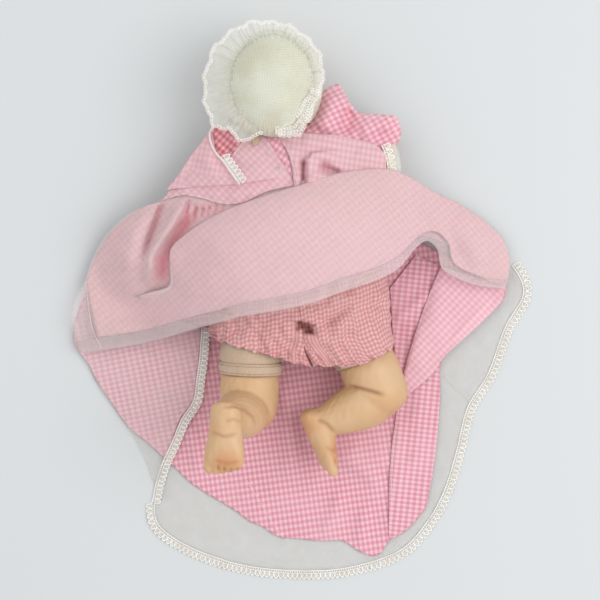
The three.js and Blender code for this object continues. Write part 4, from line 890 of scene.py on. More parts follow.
# %% Sleeves and bodice front
SLEEVE_LEFT_IN = edge([(-88, 168), (-86, 158), (-84, 148), (-76, 137), (-68, 130), (-60, 118)])
SLEEVE_LEFT_OUT = edge([(-91, 168), (-98, 158), (-110, 143), (-121, 126), (-134, 110)])
INSIDE_TOP = edge([(-90, 168), (-85, 173), (-76, 172), (-66, 166), (-56, 160)])
INSIDE_LOW = edge([(-88, 158), (-84, 148), (-77, 140), (-70, 137), (-58, 148)])
back_piece(
    "sleeve_left_cloth", (SLEEVE_LEFT_IN, SLEEVE_LEFT_OUT), (70, 44),
    [([(-92, 160), (-92, 140), (-84, 122)], 2.5, 8), ([(-104, 146), (-110, 128), (-112, 112)], -2, 6)],
    PINK_COVERED, 1.3, 12, "sleeve_left", 0.5)
back_piece(
    "sleeve_left_inside", (INSIDE_TOP, INSIDE_LOW), (40, 30), [([(-76, 170), (-72, 156), (-72, 142)], -4, 6)],
    PINK_SHADE, 0.2, 40, uneven=0.4)

SLEEVE_RIGHT_IN = edge([(-2, 162), (12, 162), (35, 161), (51, 157), (64, 152), (77, 147)])
SLEEVE_RIGHT_OUT = edge([
    (-2, 169), (11, 190), (18, 202), (25, 210), (32, 214), (38, 216), (43, 210), (50, 197), (60, 187),
    (72, 186), (85, 185), (96, 183), (100, 176), (101, 166), (97, 157), (86, 153), (78, 153)])
LOBES = [
    ([(20, 168), (30, 190), (36, 212)], 9, 12),
    ([(50, 192), (46, 176), (44, 164)], -8, 7),
    ([(58, 166), (76, 176), (96, 180)], 6, 10),
    ([(34, 166), (42, 186), (42, 206)], 2.5, 4),
    ([(6, 176), (16, 186), (22, 200)], -2, 5),
    ([(66, 160), (82, 165), (96, 168)], -3, 5),
]
SLEEVE_TIP = 44.0  # height of the flipped edge

seen = spanned(SLEEVE_RIGHT_IN, SLEEVE_RIGHT_OUT, 150, 50)
x, y = split(seen)
away = np.linspace(0, 1, 50)[None, :]
shoulder = over(0.2)(x[:, :1], y[:, :1])
height = shoulder + (SLEEVE_TIP - shoulder) * away**1.3
extra = folds(x, y, LOBES) + 0.5 * ripple(x, y, 14, 31)
points = lift(seen, lambda x, y: height, extra)
sleeve_right = cloth("sleeve_right_cloth", points, PINK, CLOTH, threads(points, 60, planar=True))
belongs(sleeve_right, "doll_body", "gingham", "sleeve_right")

FRONT_LOW = edge([(-62, 76), (-18, 80), (26, 84)])
FRONT_TOP = edge([(-72, 136), (-36, 141), (6, 138)])
seen = spanned(FRONT_LOW, FRONT_TOP, 50, 40)
points = lift(seen, lambda x, y: 3.6 + 0.3 * ripple(x, y, 20, 33))
bodice_front = cloth("bodice_front_cloth", points, PINK, CLOTH, threads(points, planar=True))
belongs(bodice_front, "doll_body", "gingham", "bodice_front")
print("bodice and sleeves made")

# %% [markdown]
# Vinyl and stuffed limbs start as simple rounded forms: turned profiles, ovals along a path and ellipsoids.
# Voxel remeshing fuses the forms of one limb into a single skin and smoothing rounds the places where they
# meet, much as the sculptor's wax did for the mould of the real doll.

# %% Round forms
def placed(forms, place):
    return [form @ place[:3, :3].T + place[:3, 3] for form in forms]


def frame_at(origin, along, toward=(0.0, 0.0, 1.0)):
    """A frame with Y along one direction and Z near another."""
    y = np.array(along, float) / np.linalg.norm(along)
    x = np.cross(y, toward)
    x /= np.linalg.norm(x)
    place = np.eye(4)
    place[:3, 0], place[:3, 1], place[:3, 2], place[:3, 3] = x, y, np.cross(x, y), origin
    return place


def oval_rings(table, segments=72, steps=60):
    """Rings along Y from rows of [along, half width, half height, height of the middle]."""
    table = np.array(table, float)
    line = edge(table)(np.linspace(0, 1, steps))
    angle = np.linspace(0, 2 * math.pi, segments, endpoint=False)[None]
    y, half, high, middle = (line[:, k : k + 1] for k in range(4))
    return np.stack([half * np.cos(angle), y + 0 * angle, middle + high * np.sin(angle)], -1)


def turned(profile, segments=72, steps=60):
    """A turned form about Y from rows of [along, radius]."""
    return oval_rings([(y, r, r, 0) for y, r in profile], segments, steps)


def dome(at, radius, depth, steps=5):
    angle = (np.arange(steps) + 0.5) / steps * math.pi / 2
    return list(zip(at + depth * np.sin(angle), radius * np.cos(angle)))


def ball_end(radius):
    """The profile of a rounded limb end, up to its full radius at 0."""
    return [*[(-y, r) for y, r in dome(0, radius, radius)][::-1], (0, radius)]


def ellipsoid(centre, radii, segments=48, steps=24):
    a = np.linspace(0, 2 * math.pi, segments, endpoint=False)[None]
    b = np.linspace(-math.pi / 2 + 0.03, math.pi / 2 - 0.03, steps)[:, None]
    unit = np.stack([np.cos(b) * np.cos(a), np.sin(b) + 0 * a, np.cos(b) * np.sin(a)], -1)
    return unit * np.array(radii) + np.array(centre)


def closed_mesh(name, forms):
    """Rings capped at both ends, each form a closed shell."""
    mesh = bmesh.new()
    for rings in forms:
        rows = [[mesh.verts.new(p * MM) for p in ring] for ring in rings]
        for low, high in zip(rows[:-1], rows[1:]):
            for k in range(len(low)):
                mesh.faces.new((low[k - 1], low[k], high[k], high[k - 1]))
        mesh.faces.new(rows[0])
        mesh.faces.new(rows[-1][::-1])
    bmesh.ops.recalc_face_normals(mesh, faces=mesh.faces)
    data = bpy.data.meshes.new(name)
    mesh.to_mesh(data)
    mesh.free()
    return data


def remeshed(name, forms, voxel):
    piece = add_object(name, closed_mesh(name, forms))
    skin = piece.modifiers.new("even_squares", "REMESH")
    skin.mode = "VOXEL"
    skin.voxel_size = voxel * MM
    return piece


def coated(piece, material):
    """The modifiers made plain, and one smooth-shaded finish all over."""
    plain(piece)
    piece.data.materials.clear()
    piece.data.materials.append(material)
    piece.data.shade_smooth()
    return piece


def fused(name, forms, voxel, rounds, material):
    piece = remeshed(name, forms, voxel)
    even = piece.modifiers.new("even", "SMOOTH")
    even.iterations = rounds
    even.factor = 0.5
    return coated(piece, material)


def vectors_of(mesh, name):
    flat = np.empty(len(mesh.vertices) * 3, np.float32)
    mesh.vertices.foreach_get(name, flat)
    return flat.reshape(-1, 3).astype(float)


def points_of(mesh):
    return vectors_of(mesh, "co") / MM


def normals_of(mesh):
    return vectors_of(mesh, "normal")


def set_points(mesh, points):
    mesh.vertices.foreach_set("co", (points * MM).astype(np.float32).ravel())
    mesh.update()


def seen_from_above(points):
    return points[:, :2] / (1 - points[:, 2:] / CAMERA_HEIGHT)


def near_spots(points, spots, full):
    """A glow round spots of (centre, radius): 1 from `full` of the way in."""
    glow = [smooth(1 - np.linalg.norm(points - np.array(c), axis=1) / r, 0, full) for c, r in spots]
    return np.clip(sum(glow, np.zeros(len(points))), 0, 1)


def press(piece, strokes, blush=(), uneven=0.15):
    """Push creases into the upper side along strokes seen from above, and mark their valleys for painted
    shade in the finish.
    """
    mesh = piece.data
    points, normals = points_of(mesh), normals_of(mesh)
    seen = seen_from_above(points)
    facing = smooth(normals[:, 2], -0.1, 0.35)
    depth = folds(seen[:, 0], seen[:, 1], strokes) * facing
    rough = uneven * ripple(points[:, 0] + points[:, 2], points[:, 1] - points[:, 2], 11, 41)
    set_points(mesh, points + normals * (depth + rough)[:, None])
    mark(mesh, "crease_shade_and_lip_paint", np.clip(-depth / 2.0, 0, 1))
    mark(mesh, "blush", near_spots(points, blush, 0.8))


# %% [markdown]
# Old doll vinyl is a warm tan with a dull gloss, redder on the toes and heels where the maker sprayed a
# blush.
# Its creases are darkened with painted shade. Light goes a little way in, so the shader has some subsurface
# scattering.

# %% Vinyl and muslin finishes
def vinyl(name, colour, warm, deep):
    f = Finish(name, Roughness=0.42, Specular_IOR_Level=0.35, Subsurface_Weight=0.18, Subsurface_Scale=0.004)
    f.shader.inputs["Subsurface Radius"].default_value = (1.0, 0.45, 0.25)
    cloudy = f.remap(f.noise(28.0), 0.35, 0.7)
    skin = f.blend(cloudy, colour, tone(214, 178, 138))
    skin = f.blend(f.maths("MULTIPLY", f.attribute("blush"), 0.75), skin, warm)
    speck = f.remap(f.noise(2.4, 4.0), 0.62, 0.8, 0.0, 0.25)
    skin = f.blend(speck, skin, warm)
    # painted shade in the creases, and the lip paint, both in the deep colour
    f.colour(f.blend(f.maths("MULTIPLY", f.attribute("crease_shade_and_lip_paint"), 0.85), skin, deep))
    f.feed(f.shader.inputs["Roughness"], f.remap(f.noise(9.0), 0.3, 0.7, 0.36, 0.5))
    f.bump(f.noise(1.1, 2.0), 0.05, 0.4)
    return f.material


def muslin(name, colour, worn, yarn=0.75):
    f = Finish(name, Roughness=0.95, Specular_IOR_Level=0.1, Sheen_Weight=0.12, Sheen_Roughness=0.7)
    where = f.node("ShaderNodeTexCoord").outputs["Object"]
    parts = f.node("ShaderNodeSeparateXYZ", {0: where})
    x, y, z = (f.maths("MULTIPLY", parts.outputs[k], 1 / MM) for k in range(3))
    weave = f.maths("MULTIPLY", f.wave(f.maths("ADD", x, f.maths("MULTIPLY", z, 0.6)), yarn), f.wave(y, yarn))
    slub = f.remap(f.noise(1.5, 2.0), 0.35, 0.7, 0.0, 0.35)
    patch = f.remap(f.noise(22.0), 0.35, 0.7)
    f.colour(f.blend(slub, f.blend(patch, colour, worn), tone(222, 200, 176)))
    f.bump(f.maths("ADD", weave, f.maths("MULTIPLY", f.noise(4.0), 3.0)), 0.16, 0.7)
    return f.material


# the last colour is the painted shade of the creases and the lip paint
VINYL_FINISH = vinyl("tan_vinyl", tone(211, 172, 129), tone(208, 144, 100), tone(160, 102, 68))
MUSLIN_SKIN = muslin("unbleached_muslin", tone(210, 184, 158), tone(202, 174, 148))
FILLING = muslin("cotton_filling", tone(238, 232, 220), tone(226, 218, 204), 2.4)

# %% [markdown]
# Each lower leg is one vinyl casting: a short upper part that plugs into the cloth thigh, a chubby shin
# bent at the knee, and a foot with five toes. The left shin stands up, so its sole faces the camera; the
# right one lies on its side. Knee, ankle and toe creases are pressed in as strokes seen from above.

# %% Lower legs
THIGH_RADIUS = 29.0
HIP_RADIUS = 26.0
KNEE_REACH = 88.0
CASING_LENGTH = 11.0
SHIN_REACH = 67.0
SOLE_Z = 82.0
LEGS = {
    "left": dict(hip=(-47, -20, 39), thigh=(-0.03, -1, -0.05), shin=(-0.27, -0.1, 0.95), big=1, casing=40.0),
    "right": dict(hip=(44, -13, 39), thigh=(0.4, -0.91, -0.05), shin=(-0.9, -0.4, 0.06), big=-1, casing=36.0),
}
# their valleys also get painted shade in the vinyl finish
LEG_CREASES = {
    "left": [
        ([(-80, -108), (-66, -106), (-54, -109), (-46, -117), (-44, -128)], -1.1, 2.0),
        ([(-76, -122), (-66, -119.5), (-57, -122)], -0.7, 1.8),
        ([(-90, -132), (-76, -137), (-60, -134)], -0.9, 2.0),
        ([(-88, -160), (-74, -164), (-57, -161)], -0.8, 2.4),
        ([(-82, -165), (-82, -171)], -1.2, 1.0), ([(-76, -167), (-76, -173)], -1.2, 1.0),
        ([(-69, -168), (-69, -174)], -1.2, 1.0), ([(-62.5, -167), (-62.5, -173)], -1.2, 1.0),
    ],
    "right": [
        ([(46, -86), (60, -89), (76, -93), (86, -96)], -1.8, 2.2),
        ([(48, -92), (62, -96), (78, -100)], 0.8, 4),
        ([(16, -118), (26, -124), (36, -134)], -1.2, 2.2),
        ([(24, -146), (33, -150), (43, -147)], -0.8, 2.0),
        ([(35, -158), (36, -164)], -1.0, 1.0), ([(40, -157), (41, -163)], -1.0, 1.0),
    ],
}
LEG_BLUSH = {
    "left": [((-86, -118, 120), 20), ((-68, -152, 116), 22), ((-40, -116, 40), 24)],
    "right": [((12, -120, 42), 18), ((36, -148, 44), 22), ((80, -98, 40), 26)],
}


def leg_forms(big, start):
    end = start + CASING_LENGTH
    upper = turned([
        (start + 0.3, THIGH_RADIUS - 5), (end - 1, THIGH_RADIUS - 5), (end + 0.5, THIGH_RADIUS - 2),
        (end + 6, THIGH_RADIUS - 0.8), (end + 13, THIGH_RADIUS - 0.3), (KNEE_REACH - 6, THIGH_RADIUS - 1.5),
        *dome(KNEE_REACH - 2, THIGH_RADIUS - 2, 22)])
    shin = turned([
        *dome(0, 20, -14)[::-1], (8, 23.5), (24, 24), (42, 20.5), (56, 16.5), (SHIN_REACH, 14.5),
        *dome(SHIN_REACH + 2, 13, 9)])
    shin = np.stack([shin[..., 0], KNEE_REACH - shin[..., 2], shin[..., 1]], -1)
    heel, toe = KNEE_REACH - 17, KNEE_REACH + 49
    foot = oval_rings([
        (heel - 0.5, 3, 3, SOLE_Z - 10), (heel, 7, 6, SOLE_Z - 10), (heel + 4, 13, 10, SOLE_Z - 11),
        (heel + 14, 15, 13.5, SOLE_Z - 13.5), (heel + 30, 16, 13, SOLE_Z - 13),
        (heel + 44, 18.5, 10.5, SOLE_Z - 11), (toe - 10, 19, 8.5, SOLE_Z - 9.5),
        (toe - 5, 16, 6, SOLE_Z - 9.5), (toe - 3.5, 8, 3, SOLE_Z - 9.5)])
    toes = []
    for i in range(-2, 3):
        size = 4.4 + 0.5 * i
        tip = toe - 4.5 + 0.7 * i - 0.5 * i * i
        toes.append(ellipsoid((big * i * 7, tip, SOLE_Z - 9), (size * 0.86, size * 1.25, size)))
    return [upper, shin, foot, *toes]


for side, leg in LEGS.items():
    leg["place"] = frame_at(leg["hip"], leg["thigh"], leg["shin"])
    piece = fused(f"{side}_leg_skin", placed(leg_forms(leg["big"], leg["casing"]), leg["place"]),
                  1.15, 8, VINYL_FINISH)
    press(piece, LEG_CREASES[side], LEG_BLUSH[side])
    belongs(piece, f"{side}_foot", "vinyl", f"{side}_leg")
    print(piece.name, len(piece.data.polygons), "faces")

# %% [markdown]
# The body, thighs and upper arms are muslin bags stuffed with cotton. Each one starts a little small, is
# remeshed to even squares and is blown up by a short cloth simulation with pressure and no gravity. How far
# a point may move is capped, so the bag keeps its place in the frame. One subdivision then rounds it.

# %% Stuffed bags
def stuffed(name, forms, voxel, cap, material, start=1.5, frames=20):
    piece = plain(remeshed(name, forms, voxel))
    mesh = piece.data
    rest = points_of(mesh) - start * normals_of(mesh)
    set_points(mesh, rest)
    bag = piece.modifiers.new("bag", "CLOTH")
    bag.settings.use_pressure = True
    bag.settings.uniform_pressure_force = 4.0
    bag.settings.effector_weights.gravity = 0
    bag.settings.quality = 4
    for step in range(1, frames + 1):
        scene.frame_set(step)
    plain(piece)
    scene.frame_set(1)
    mesh = piece.data
    move = points_of(mesh) - rest
    far = np.maximum(np.linalg.norm(move, axis=1, keepdims=True), 1e-6)
    set_points(mesh, rest + move * np.minimum(1, cap / far))
    round_off = piece.modifiers.new("round_off", "SUBSURF")
    round_off.levels = round_off.render_levels = 1
    return coated(piece, material)


TORSO_Z, TORSO_HALF, TORSO_THICK = 43.0, 54.0, 36.0
TORSO_FORM = [  # share of the length, of the half width and of the half thickness, and the rise
    (0, 0.296, 0.444, 0), (0.036, 0.556, 0.722, 0), (0.095, 0.852, 0.917, 0), (0.208, 1, 1, 0),
    (0.417, 0.963, 1, 0), (0.595, 0.926, 0.944, 0), (0.726, 0.889, 0.861, 0), (0.833, 0.741, 0.75, 0.028),
    (0.917, 0.537, 0.611, 0.056), (0.976, 0.389, 0.528, 0.083), (1.012, 0.37, 0.514, 0.097)]
TORSO_PLACE = frame_at((*CROTCH, TORSO_Z), (*SPINE, 0))


def torso_form(inset, low=0.0, high=1.012):
    table = [
        (s * TORSO_LENGTH, w * TORSO_HALF - inset, t * TORSO_THICK - inset, r * TORSO_THICK)
        for s, w, t, r in TORSO_FORM if low <= s <= high]
    return placed([oval_rings(table)], TORSO_PLACE)


torso = stuffed("torso_bag", torso_form(0.0), 6.0, 2.4, MUSLIN_SKIN, 2.0)
belongs(torso, "doll_body", "muslin", "torso_back", "torso_front")
filling = stuffed("torso_filling", torso_form(5.0, 0.03, 0.98), 8.0, 3.0, FILLING, 2.0)
belongs(filling, "doll_body", "stuffing", "torso_stuffing")

thighs, upper_arms = [], []
for side, leg in LEGS.items():
    start = leg["casing"]
    profile = [
        (8, HIP_RADIUS - 0.4), (18, THIGH_RADIUS - 0.6), (28, THIGH_RADIUS + 2.2),
        (start - 2, THIGH_RADIUS + 3), (start + 1, THIGH_RADIUS + 1.2), (start + 5, THIGH_RADIUS - 0.6)]
    bag = turned([*ball_end(HIP_RADIUS), *profile])
    thigh = stuffed(f"{side}_thigh_bag", placed([bag], leg["place"]), 4.0, 2.0, MUSLIN_SKIN)
    belongs(thigh, f"{side}_hip_and_thigh", "muslin", f"{side}_thigh")
    thighs.append(thigh)
print("stuffed body and thighs")

# %% [markdown]
# A cloth casing is turned back over the end of each limb and drawn in by a tape, which holds the vinyl in
# place. It is a short band with a rolled edge and shallow gathers round it.

# %% Casings
def band(name, place, low, high, radius, gathers, depth, material, wall=1.2, around=180):
    """A gathered cloth band about Y, closed over both edges."""
    profile = [(low + 0.4, -wall), (low, -0.4 * wall), (low + 0.5, 0)]
    profile += [(y, 0.25 * math.sin(math.pi * (y - low) / (high - low)))
                for y in np.linspace(low + 1.4, high - 1.4, 8)]
    profile += [(high - 0.5, 0), (high, -0.4 * wall), (high - 0.4, -wall)]
    angle = np.linspace(0, 2 * math.pi, around + 1)[:, None]
    y, out = np.array(profile).T[:, None, :]
    crimp = depth * (np.sin(gathers * angle + 0.6 * np.sin(3 * angle))
                     + 0.4 * np.sin(2.3 * gathers * angle + 1))
    r = radius + out + crimp * smooth(y, low - 1, high)
    points = np.stack([r * np.cos(angle), y + 0 * angle, r * np.sin(angle)], -1)
    points[-1] = points[0]
    return cloth(name, placed([points], place)[0], material, 0.5, loop=True)


for side, leg in LEGS.items():
    casing = band(
        f"{side}_thigh_hem", leg["place"], leg["casing"], leg["casing"] + CASING_LENGTH, THIGH_RADIUS + 1.2,
        34, 0.22, MUSLIN_SKIN)
    belongs(casing, f"{side}_hip_and_thigh", "muslin", f"{side}_thigh_casing")

# %% [markdown]
# The arms are hidden under the dress apart from the finger tips of the right hand, so their form is a guess
# after the legs: a stuffed upper arm, a casing and a vinyl forearm with a mitten hand of four fingers and a
# thumb.

# %% Arms
ARM_RADIUS, UPPER_ARM, FOREARM, HAND_LENGTH = 16.0, 46.0, 42.0, 20.0


def forearm_forms(thumb):
    stem = ARM_RADIUS - 4.5
    shaft = turned([
        (0.3, stem), (7, stem), (8.6, ARM_RADIUS - 2), (12, ARM_RADIUS - 1.3), (20, ARM_RADIUS - 1),
        (FOREARM - 12, ARM_RADIUS - 4), (FOREARM - 3, ARM_RADIUS - 6),
        *dome(FOREARM - 2, ARM_RADIUS - 6.5, 6)])
    palm = ellipsoid((0, FOREARM + 6, 0), (9.5, 11, 6.2))
    fingers = [
        ellipsoid((i * 4.4, FOREARM + HAND_LENGTH - 4 - 0.8 * i * i, -1.5), (2.5, 7.5, 2.7))
        for i in (-1.5, -0.5, 0.5, 1.5)]
    return [shaft, palm, *fingers, ellipsoid((thumb * 8.6, FOREARM + 6, -1.5), (2.8, 7, 2.8))]


for side, arm in ARMS.items():
    shoulder, elbow, hand = (np.array(arm[k], float) for k in ("shoulder", "elbow", "hand"))
    bag = turned([
        *ball_end(SHOULDER_RADIUS), (8, ARM_RADIUS - 0.4), (18, ARM_RADIUS + 0.4),
        (UPPER_ARM - 14, ARM_RADIUS - 1), (UPPER_ARM - 9, ARM_RADIUS - 5), (UPPER_ARM - 6, ARM_RADIUS - 9)])
    upper = stuffed(f"{side}_arm_bag", placed([bag], frame_at(shoulder, elbow - shoulder)),
                    4.0, 1.6, MUSLIN_SKIN)
    belongs(upper, f"{side}_arm", "muslin", f"{side}_upper_arm")
    upper_arms.append(upper)
    place = frame_at(elbow, hand - elbow)
    cuff = band(f"{side}_arm_hem", place, 0, 8, ARM_RADIUS + 0.6, 22, 0.2, MUSLIN_SKIN, around=120)
    belongs(cuff, f"{side}_arm", "muslin", f"{side}_arm_casing")
    skin = fused(f"{side}_forearm_skin", placed(forearm_forms(arm["thumb"]), place), 1.0, 3, VINYL_FINISH)
    tip = place @ np.array([0, FOREARM + HAND_LENGTH, -1.5, 1])
    press(skin, [], [(tip[:3], 16)])
    belongs(skin, f"{side}_hand", "vinyl", f"{side}_forearm")
print("arms made")

# %% [markdown]
# The bloomers are two halves that meet in a centre seam. Each half is a tube drawn between its outer and
# inner edges as seen from above: a half oval against the seam at the waist, a full oval round the thigh at
# the hem. The elastic draws the hem in and leaves a small frill, and the cloth between them is puffed and
# crumpled.

# %% Bloomers
HALVES = {
    "left": dict(
        outer=[(-71, 49), (-78, 22), (-84, 0), (-87.5, -14), (-88.5, -25), (-86.5, -35)],
        inner=[(-17, 62), (-9, 27), (-2, -2), (1.5, -26), (4.5, -46), (13, -64)], bow=1.0),
    "right": dict(
        outer=[(38, 74), (70, 46), (84, 20), (86.4, -6), (88, -24), (90, -38)],
        inner=[(-16.8, 62), (-8.8, 27), (-1.8, -2), (1.7, -26), (4.0, -46), (11.6, -64)], bow=12.0),
}
BLOOMER_FOLDS = {
    "left": [
        ([(2, -38), (-10, -46), (-22, -52)], -3.2, 4.5),
        ([(-6, -30), (-24, -36), (-44, -38)], 2.4, 7), ([(-30, -48), (-50, -44), (-68, -38)], -2.0, 5),
        ([(-86, -18), (-78, -26), (-66, -30)], 2.0, 6), ([(-14, -56), (-30, -58), (-44, -55)], 1.6, 4)],
    "right": [
        ([(12, -31), (28, -22), (54, -3)], -3.2, 3.6), ([(16, -43), (34, -33), (58, -14)], 3.2, 8),
        ([(14, -44), (26, -52), (36, -62)], -2.6, 5), ([(30, -20), (50, -26), (72, -26)], 2.6, 9),
        ([(52, -14), (66, -8), (80, 2)], -2.0, 6), ([(64, -44), (74, -36), (82, -24)], -2.2, 5),
        ([(46, -52), (54, -40), (60, -28)], 1.8, 6), ([(28, -36), (30, -24), (30, -12)], -1.6, 5)],
}
SEEN_SCALE = 0.945  # size at the height of the bloomers' back, against the table
HEM_AT = 0.93  # share of the length where the elastic is
PINCH = [(0, -25), (9, -29.5)]  # where the crotch is drawn in
PINCH_DEPTH, PINCH_WIDTH = 17.0, 4.6
SEAM_SHADE = [([(4, -30), (7, -46), (12, -66)], 0.4, 2.5)]  # painted shade, a deeper pink, along the centre seam
THIGH_CLEAR = THIGH_RADIUS + 4.6
FRILLS = 30
AROUND, ALONG = 181, 84  # points of a half: round it, the first one twice, and from waist to hem


def out_of(points):
    """Outward directions of a tube net whose first direction runs round it."""
    across = np.gradient(points, axis=0)
    across[0] = across[-1] = points[1] - points[-2]
    n = np.cross(across, np.gradient(points, axis=1))
    return n / np.maximum(np.linalg.norm(n, axis=2, keepdims=True), 1e-9)


def evened_rings(net):
    """The same closed rings with their points spread evenly round; further columns ride along."""
    even = np.empty_like(net)
    for k in range(net.shape[1]):
        step = np.linalg.norm(np.diff(net[:, k, :3], axis=0), axis=1)
        reached = np.concatenate([[0], np.cumsum(step)])
        place = np.linspace(0, reached[-1], len(net))
        even[:, k] = np.stack([np.interp(place, reached, column) for column in net[:, k].T], -1)
    return even


def clear_of_thigh(points, side):
    """Push a cloth out until it clears the stuffed thigh and its casing."""
    hip, down = np.array(LEGS[side]["hip"], float), LEGS[side]["place"][:3, 1]
    along = (points - hip) @ down
    radial = points - hip - along[..., None] * down
    r = np.linalg.norm(radial, axis=-1, keepdims=True)
    return points + radial / r * np.clip(THIGH_CLEAR - r, 0, None) * smooth(along, 6, 20)[..., None]


def bloomer_half(side):
    """One half as a net of rings from the waist to the frilled hem, with its folds and the crotch tuck."""
    half = HALVES[side]
    t = np.linspace(0, 1, ALONG)
    outer, inner = (edge(half[k], paired=True)(t)[None] for k in ("outer", "inner"))
    a = np.linspace(0, 2 * math.pi, AROUND)[:, None]
    tube = smooth(t, 0.72, 1.06)[None]
    wall_share, wall_high = np.maximum(np.cos(a), 0), np.sin(a)
    against_seam = 0.1 + 0.6 * smooth(-np.sin(a), 0, 0.7)  # flat against the seam on top, round the leg below
    wide = np.abs(np.cos(a))
    oval_share = 0.5 + 0.5 * np.where(np.cos(a) > 0, wide**0.6, -(wide**against_seam))
    share = (wall_share * (1 - tube) + oval_share * tube)[..., None]
    high = np.interp(t, [0, 0.3, 0.62, 0.85, HEM_AT, 1], [37, 38.5, 37, 34, 31.6, 33.5])[None]
    middle = np.interp(t, [0, 1], [43, 38.2])[None]
    plan = inner + (outer - inner) * share
    off_seam = smooth(share, 0.05, 0.35)  # the two halves stay together along the centre seam
    pull = 0.06 * np.exp(-(((t - HEM_AT) / 0.05) ** 2))[None, :, None]
    plan = plan + ((inner + outer) / 2 - plan) * pull * off_seam
    down = np.array(LEGS[side]["thigh"][:2])
    sag = half["bow"] * smooth(t, 0.45, 1)[None] * np.abs(np.sin(a))
    plan = plan + sag[..., None] * off_seam * down
    net = np.concatenate([plan, (middle + high * wall_high)[..., None], share], -1)
    points, share = np.split(evened_rings(net), [3], -1)
    points[..., :2] += down * (0.9 * np.sin(0.5 * FRILLS * a) * smooth(t, 0.9, 1)[None])[..., None]
    n = out_of(points)
    if (n[..., 2] * (points[..., 2] - 40)).sum() < 0:
        n = -n
    x, y = split(points[..., :2] / SEEN_SCALE)
    near_hem = np.exp(-(((t - HEM_AT) / 0.09) ** 2))[None]
    frill = np.sin(FRILLS * a + 1.2 * np.sin(5 * a)) * (1.3 * near_hem + 1.2 * smooth(t, HEM_AT, 1)[None])
    crumple = 1.0 * ripple(x, y + 0.6 * points[..., 2], 17, 51) + 0.45 * ripple(x, y, 8, 52)
    clear = smooth(share[..., 0], 0.0, 0.08)
    up = smooth(n[..., 2], 0.0, 0.4)
    puff = (folds(x, y, BLOOMER_FOLDS[side]) * up + crumple * smooth(t, 0.1, 0.3)[None] + frill) * clear
    points = clear_of_thigh(points + n * puff[..., None], side)
    off_pinch = np.maximum(to_line(x, y, PINCH)[0] + 1.3 * ripple(x, y, 6, 54), 0)
    pit = np.exp(-((off_pinch / PINCH_WIDTH) ** 4)) * smooth(points[..., 2], 50, 66)
    points[..., 2] -= PINCH_DEPTH * pit
    points[-1] = points[0]
    piece = cloth(f"bloomers_{side}_cloth", points, DUSTY_PINK, CLOTH, loop=True)
    # painted shade in the crotch pit and along the centre seam
    seam_shade = folds(x, y, SEAM_SHADE) * up
    mark(piece.data, "painted_shade", np.clip(pit * (0.6 + 0.7 * ripple(x, y, 5, 53)) + seam_shade, 0, 1)[:-1])
    return piece


bloomers = {side: bloomer_half(side) for side in HALVES}
for side, piece in bloomers.items():
    print(piece.name, round(cloth_area(piece), 4), "m2")

# %% [markdown]
# The head is hollow vinyl on a short neck. Its face is turned to the table and can't be seen in the
# photograph, so it gets a calm, general doll face: round cheeks, a small nose, closed lips and a soft chin.
# The forms are fused, the two eye openings are cut through the skin and the skin gets a wall.

# %% Head
HEAD = np.array([-26.23, 204.9, 52.0])
HEAD_RADII = np.array([46.0, 52.0, 49.0])
NECK_Y, NECK_Z, NECK_RADIUS, NECK_SHOW = 146.9, 48.0, 15.5, 6.0
EYE_RADIUS, EYE_OPENING = 9.5, 7.4


def eye_place(side):
    """Centre of an eyeball and the direction that it looks out of the face."""
    low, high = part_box(f"eye_{side}")
    centre = (np.array(low) + np.array(high)) / 2 / MM
    from_head = centre - HEAD
    aim = np.array([from_head[0] / HEAD_RADII[0] ** 2, 0, from_head[2] / HEAD_RADII[2] ** 2])
    return centre, aim / np.linalg.norm(aim)


EYES = {side: eye_place(side) for side in ("left", "right")}


def on_neck(profile):
    return turned(profile) + np.array([HEAD[0], 0, NECK_Z])


def face_forms():
    x, y = HEAD[:2]
    forms = [
        ellipsoid(HEAD, HEAD_RADII, 96, 64),
        on_neck([
            (NECK_Y - 4, NECK_RADIUS + 2.5), (NECK_Y - 0.5, NECK_RADIUS + 2.5), (NECK_Y + 0.8, NECK_RADIUS),
            (NECK_Y + NECK_SHOW + 3.5, NECK_RADIUS), (NECK_Y + NECK_SHOW + 12, NECK_RADIUS + 6),
            (NECK_Y + NECK_SHOW + 24, NECK_RADIUS + 8)]),
        ellipsoid((x, y - 9, 6.2), (5.0, 6.2, 4.8)),
        ellipsoid((x, y - 34, 20), (13, 9, 12)),
        ellipsoid((x, y - 21.5, 8.6), (7.5, 2.6, 4.0)),
        ellipsoid((x, y - 26, 10.0), (6.2, 2.8, 4.2)),
    ]
    for s in (-1, 1):
        forms.append(ellipsoid((x + s * 19, y - 17, 16), (15, 13, 12)))
        forms.append(ellipsoid((x + s * 44.6, y - 6, 52), (3.0, 9, 6)))
    return forms


def cut_opening(mesh, centre, aim):
    """Remove the skin in front of an eye and round the edge of the hole."""
    work = bmesh.new()
    work.from_mesh(mesh)
    gone = []
    for v in work.verts:
        offset = np.array(v.co) / MM - centre
        ahead = offset @ aim
        radial = offset - ahead * aim
        r = np.linalg.norm(radial)
        if ahead < 0:
            continue
        if r < EYE_OPENING - 0.5:
            gone.append(v)
        elif r < EYE_OPENING + 0.6:
            v.co = Vector((centre + ahead * aim + radial / r * EYE_OPENING) * MM)
    bmesh.ops.delete(work, geom=gone, context="VERTS")
    work.to_mesh(mesh)
    work.free()


head = fused("head_skin", face_forms(), 1.3, 6, VINYL_FINISH)
for centre, aim in EYES.values():
    cut_opening(head.data, centre, aim)
skin_points = points_of(head.data)
cheeks = [((HEAD[0] + s * 20, HEAD[1] - 18, 8), 16) for s in (-1, 1)]
mark(head.data, "blush", near_spots(skin_points, cheeks, 0.9))
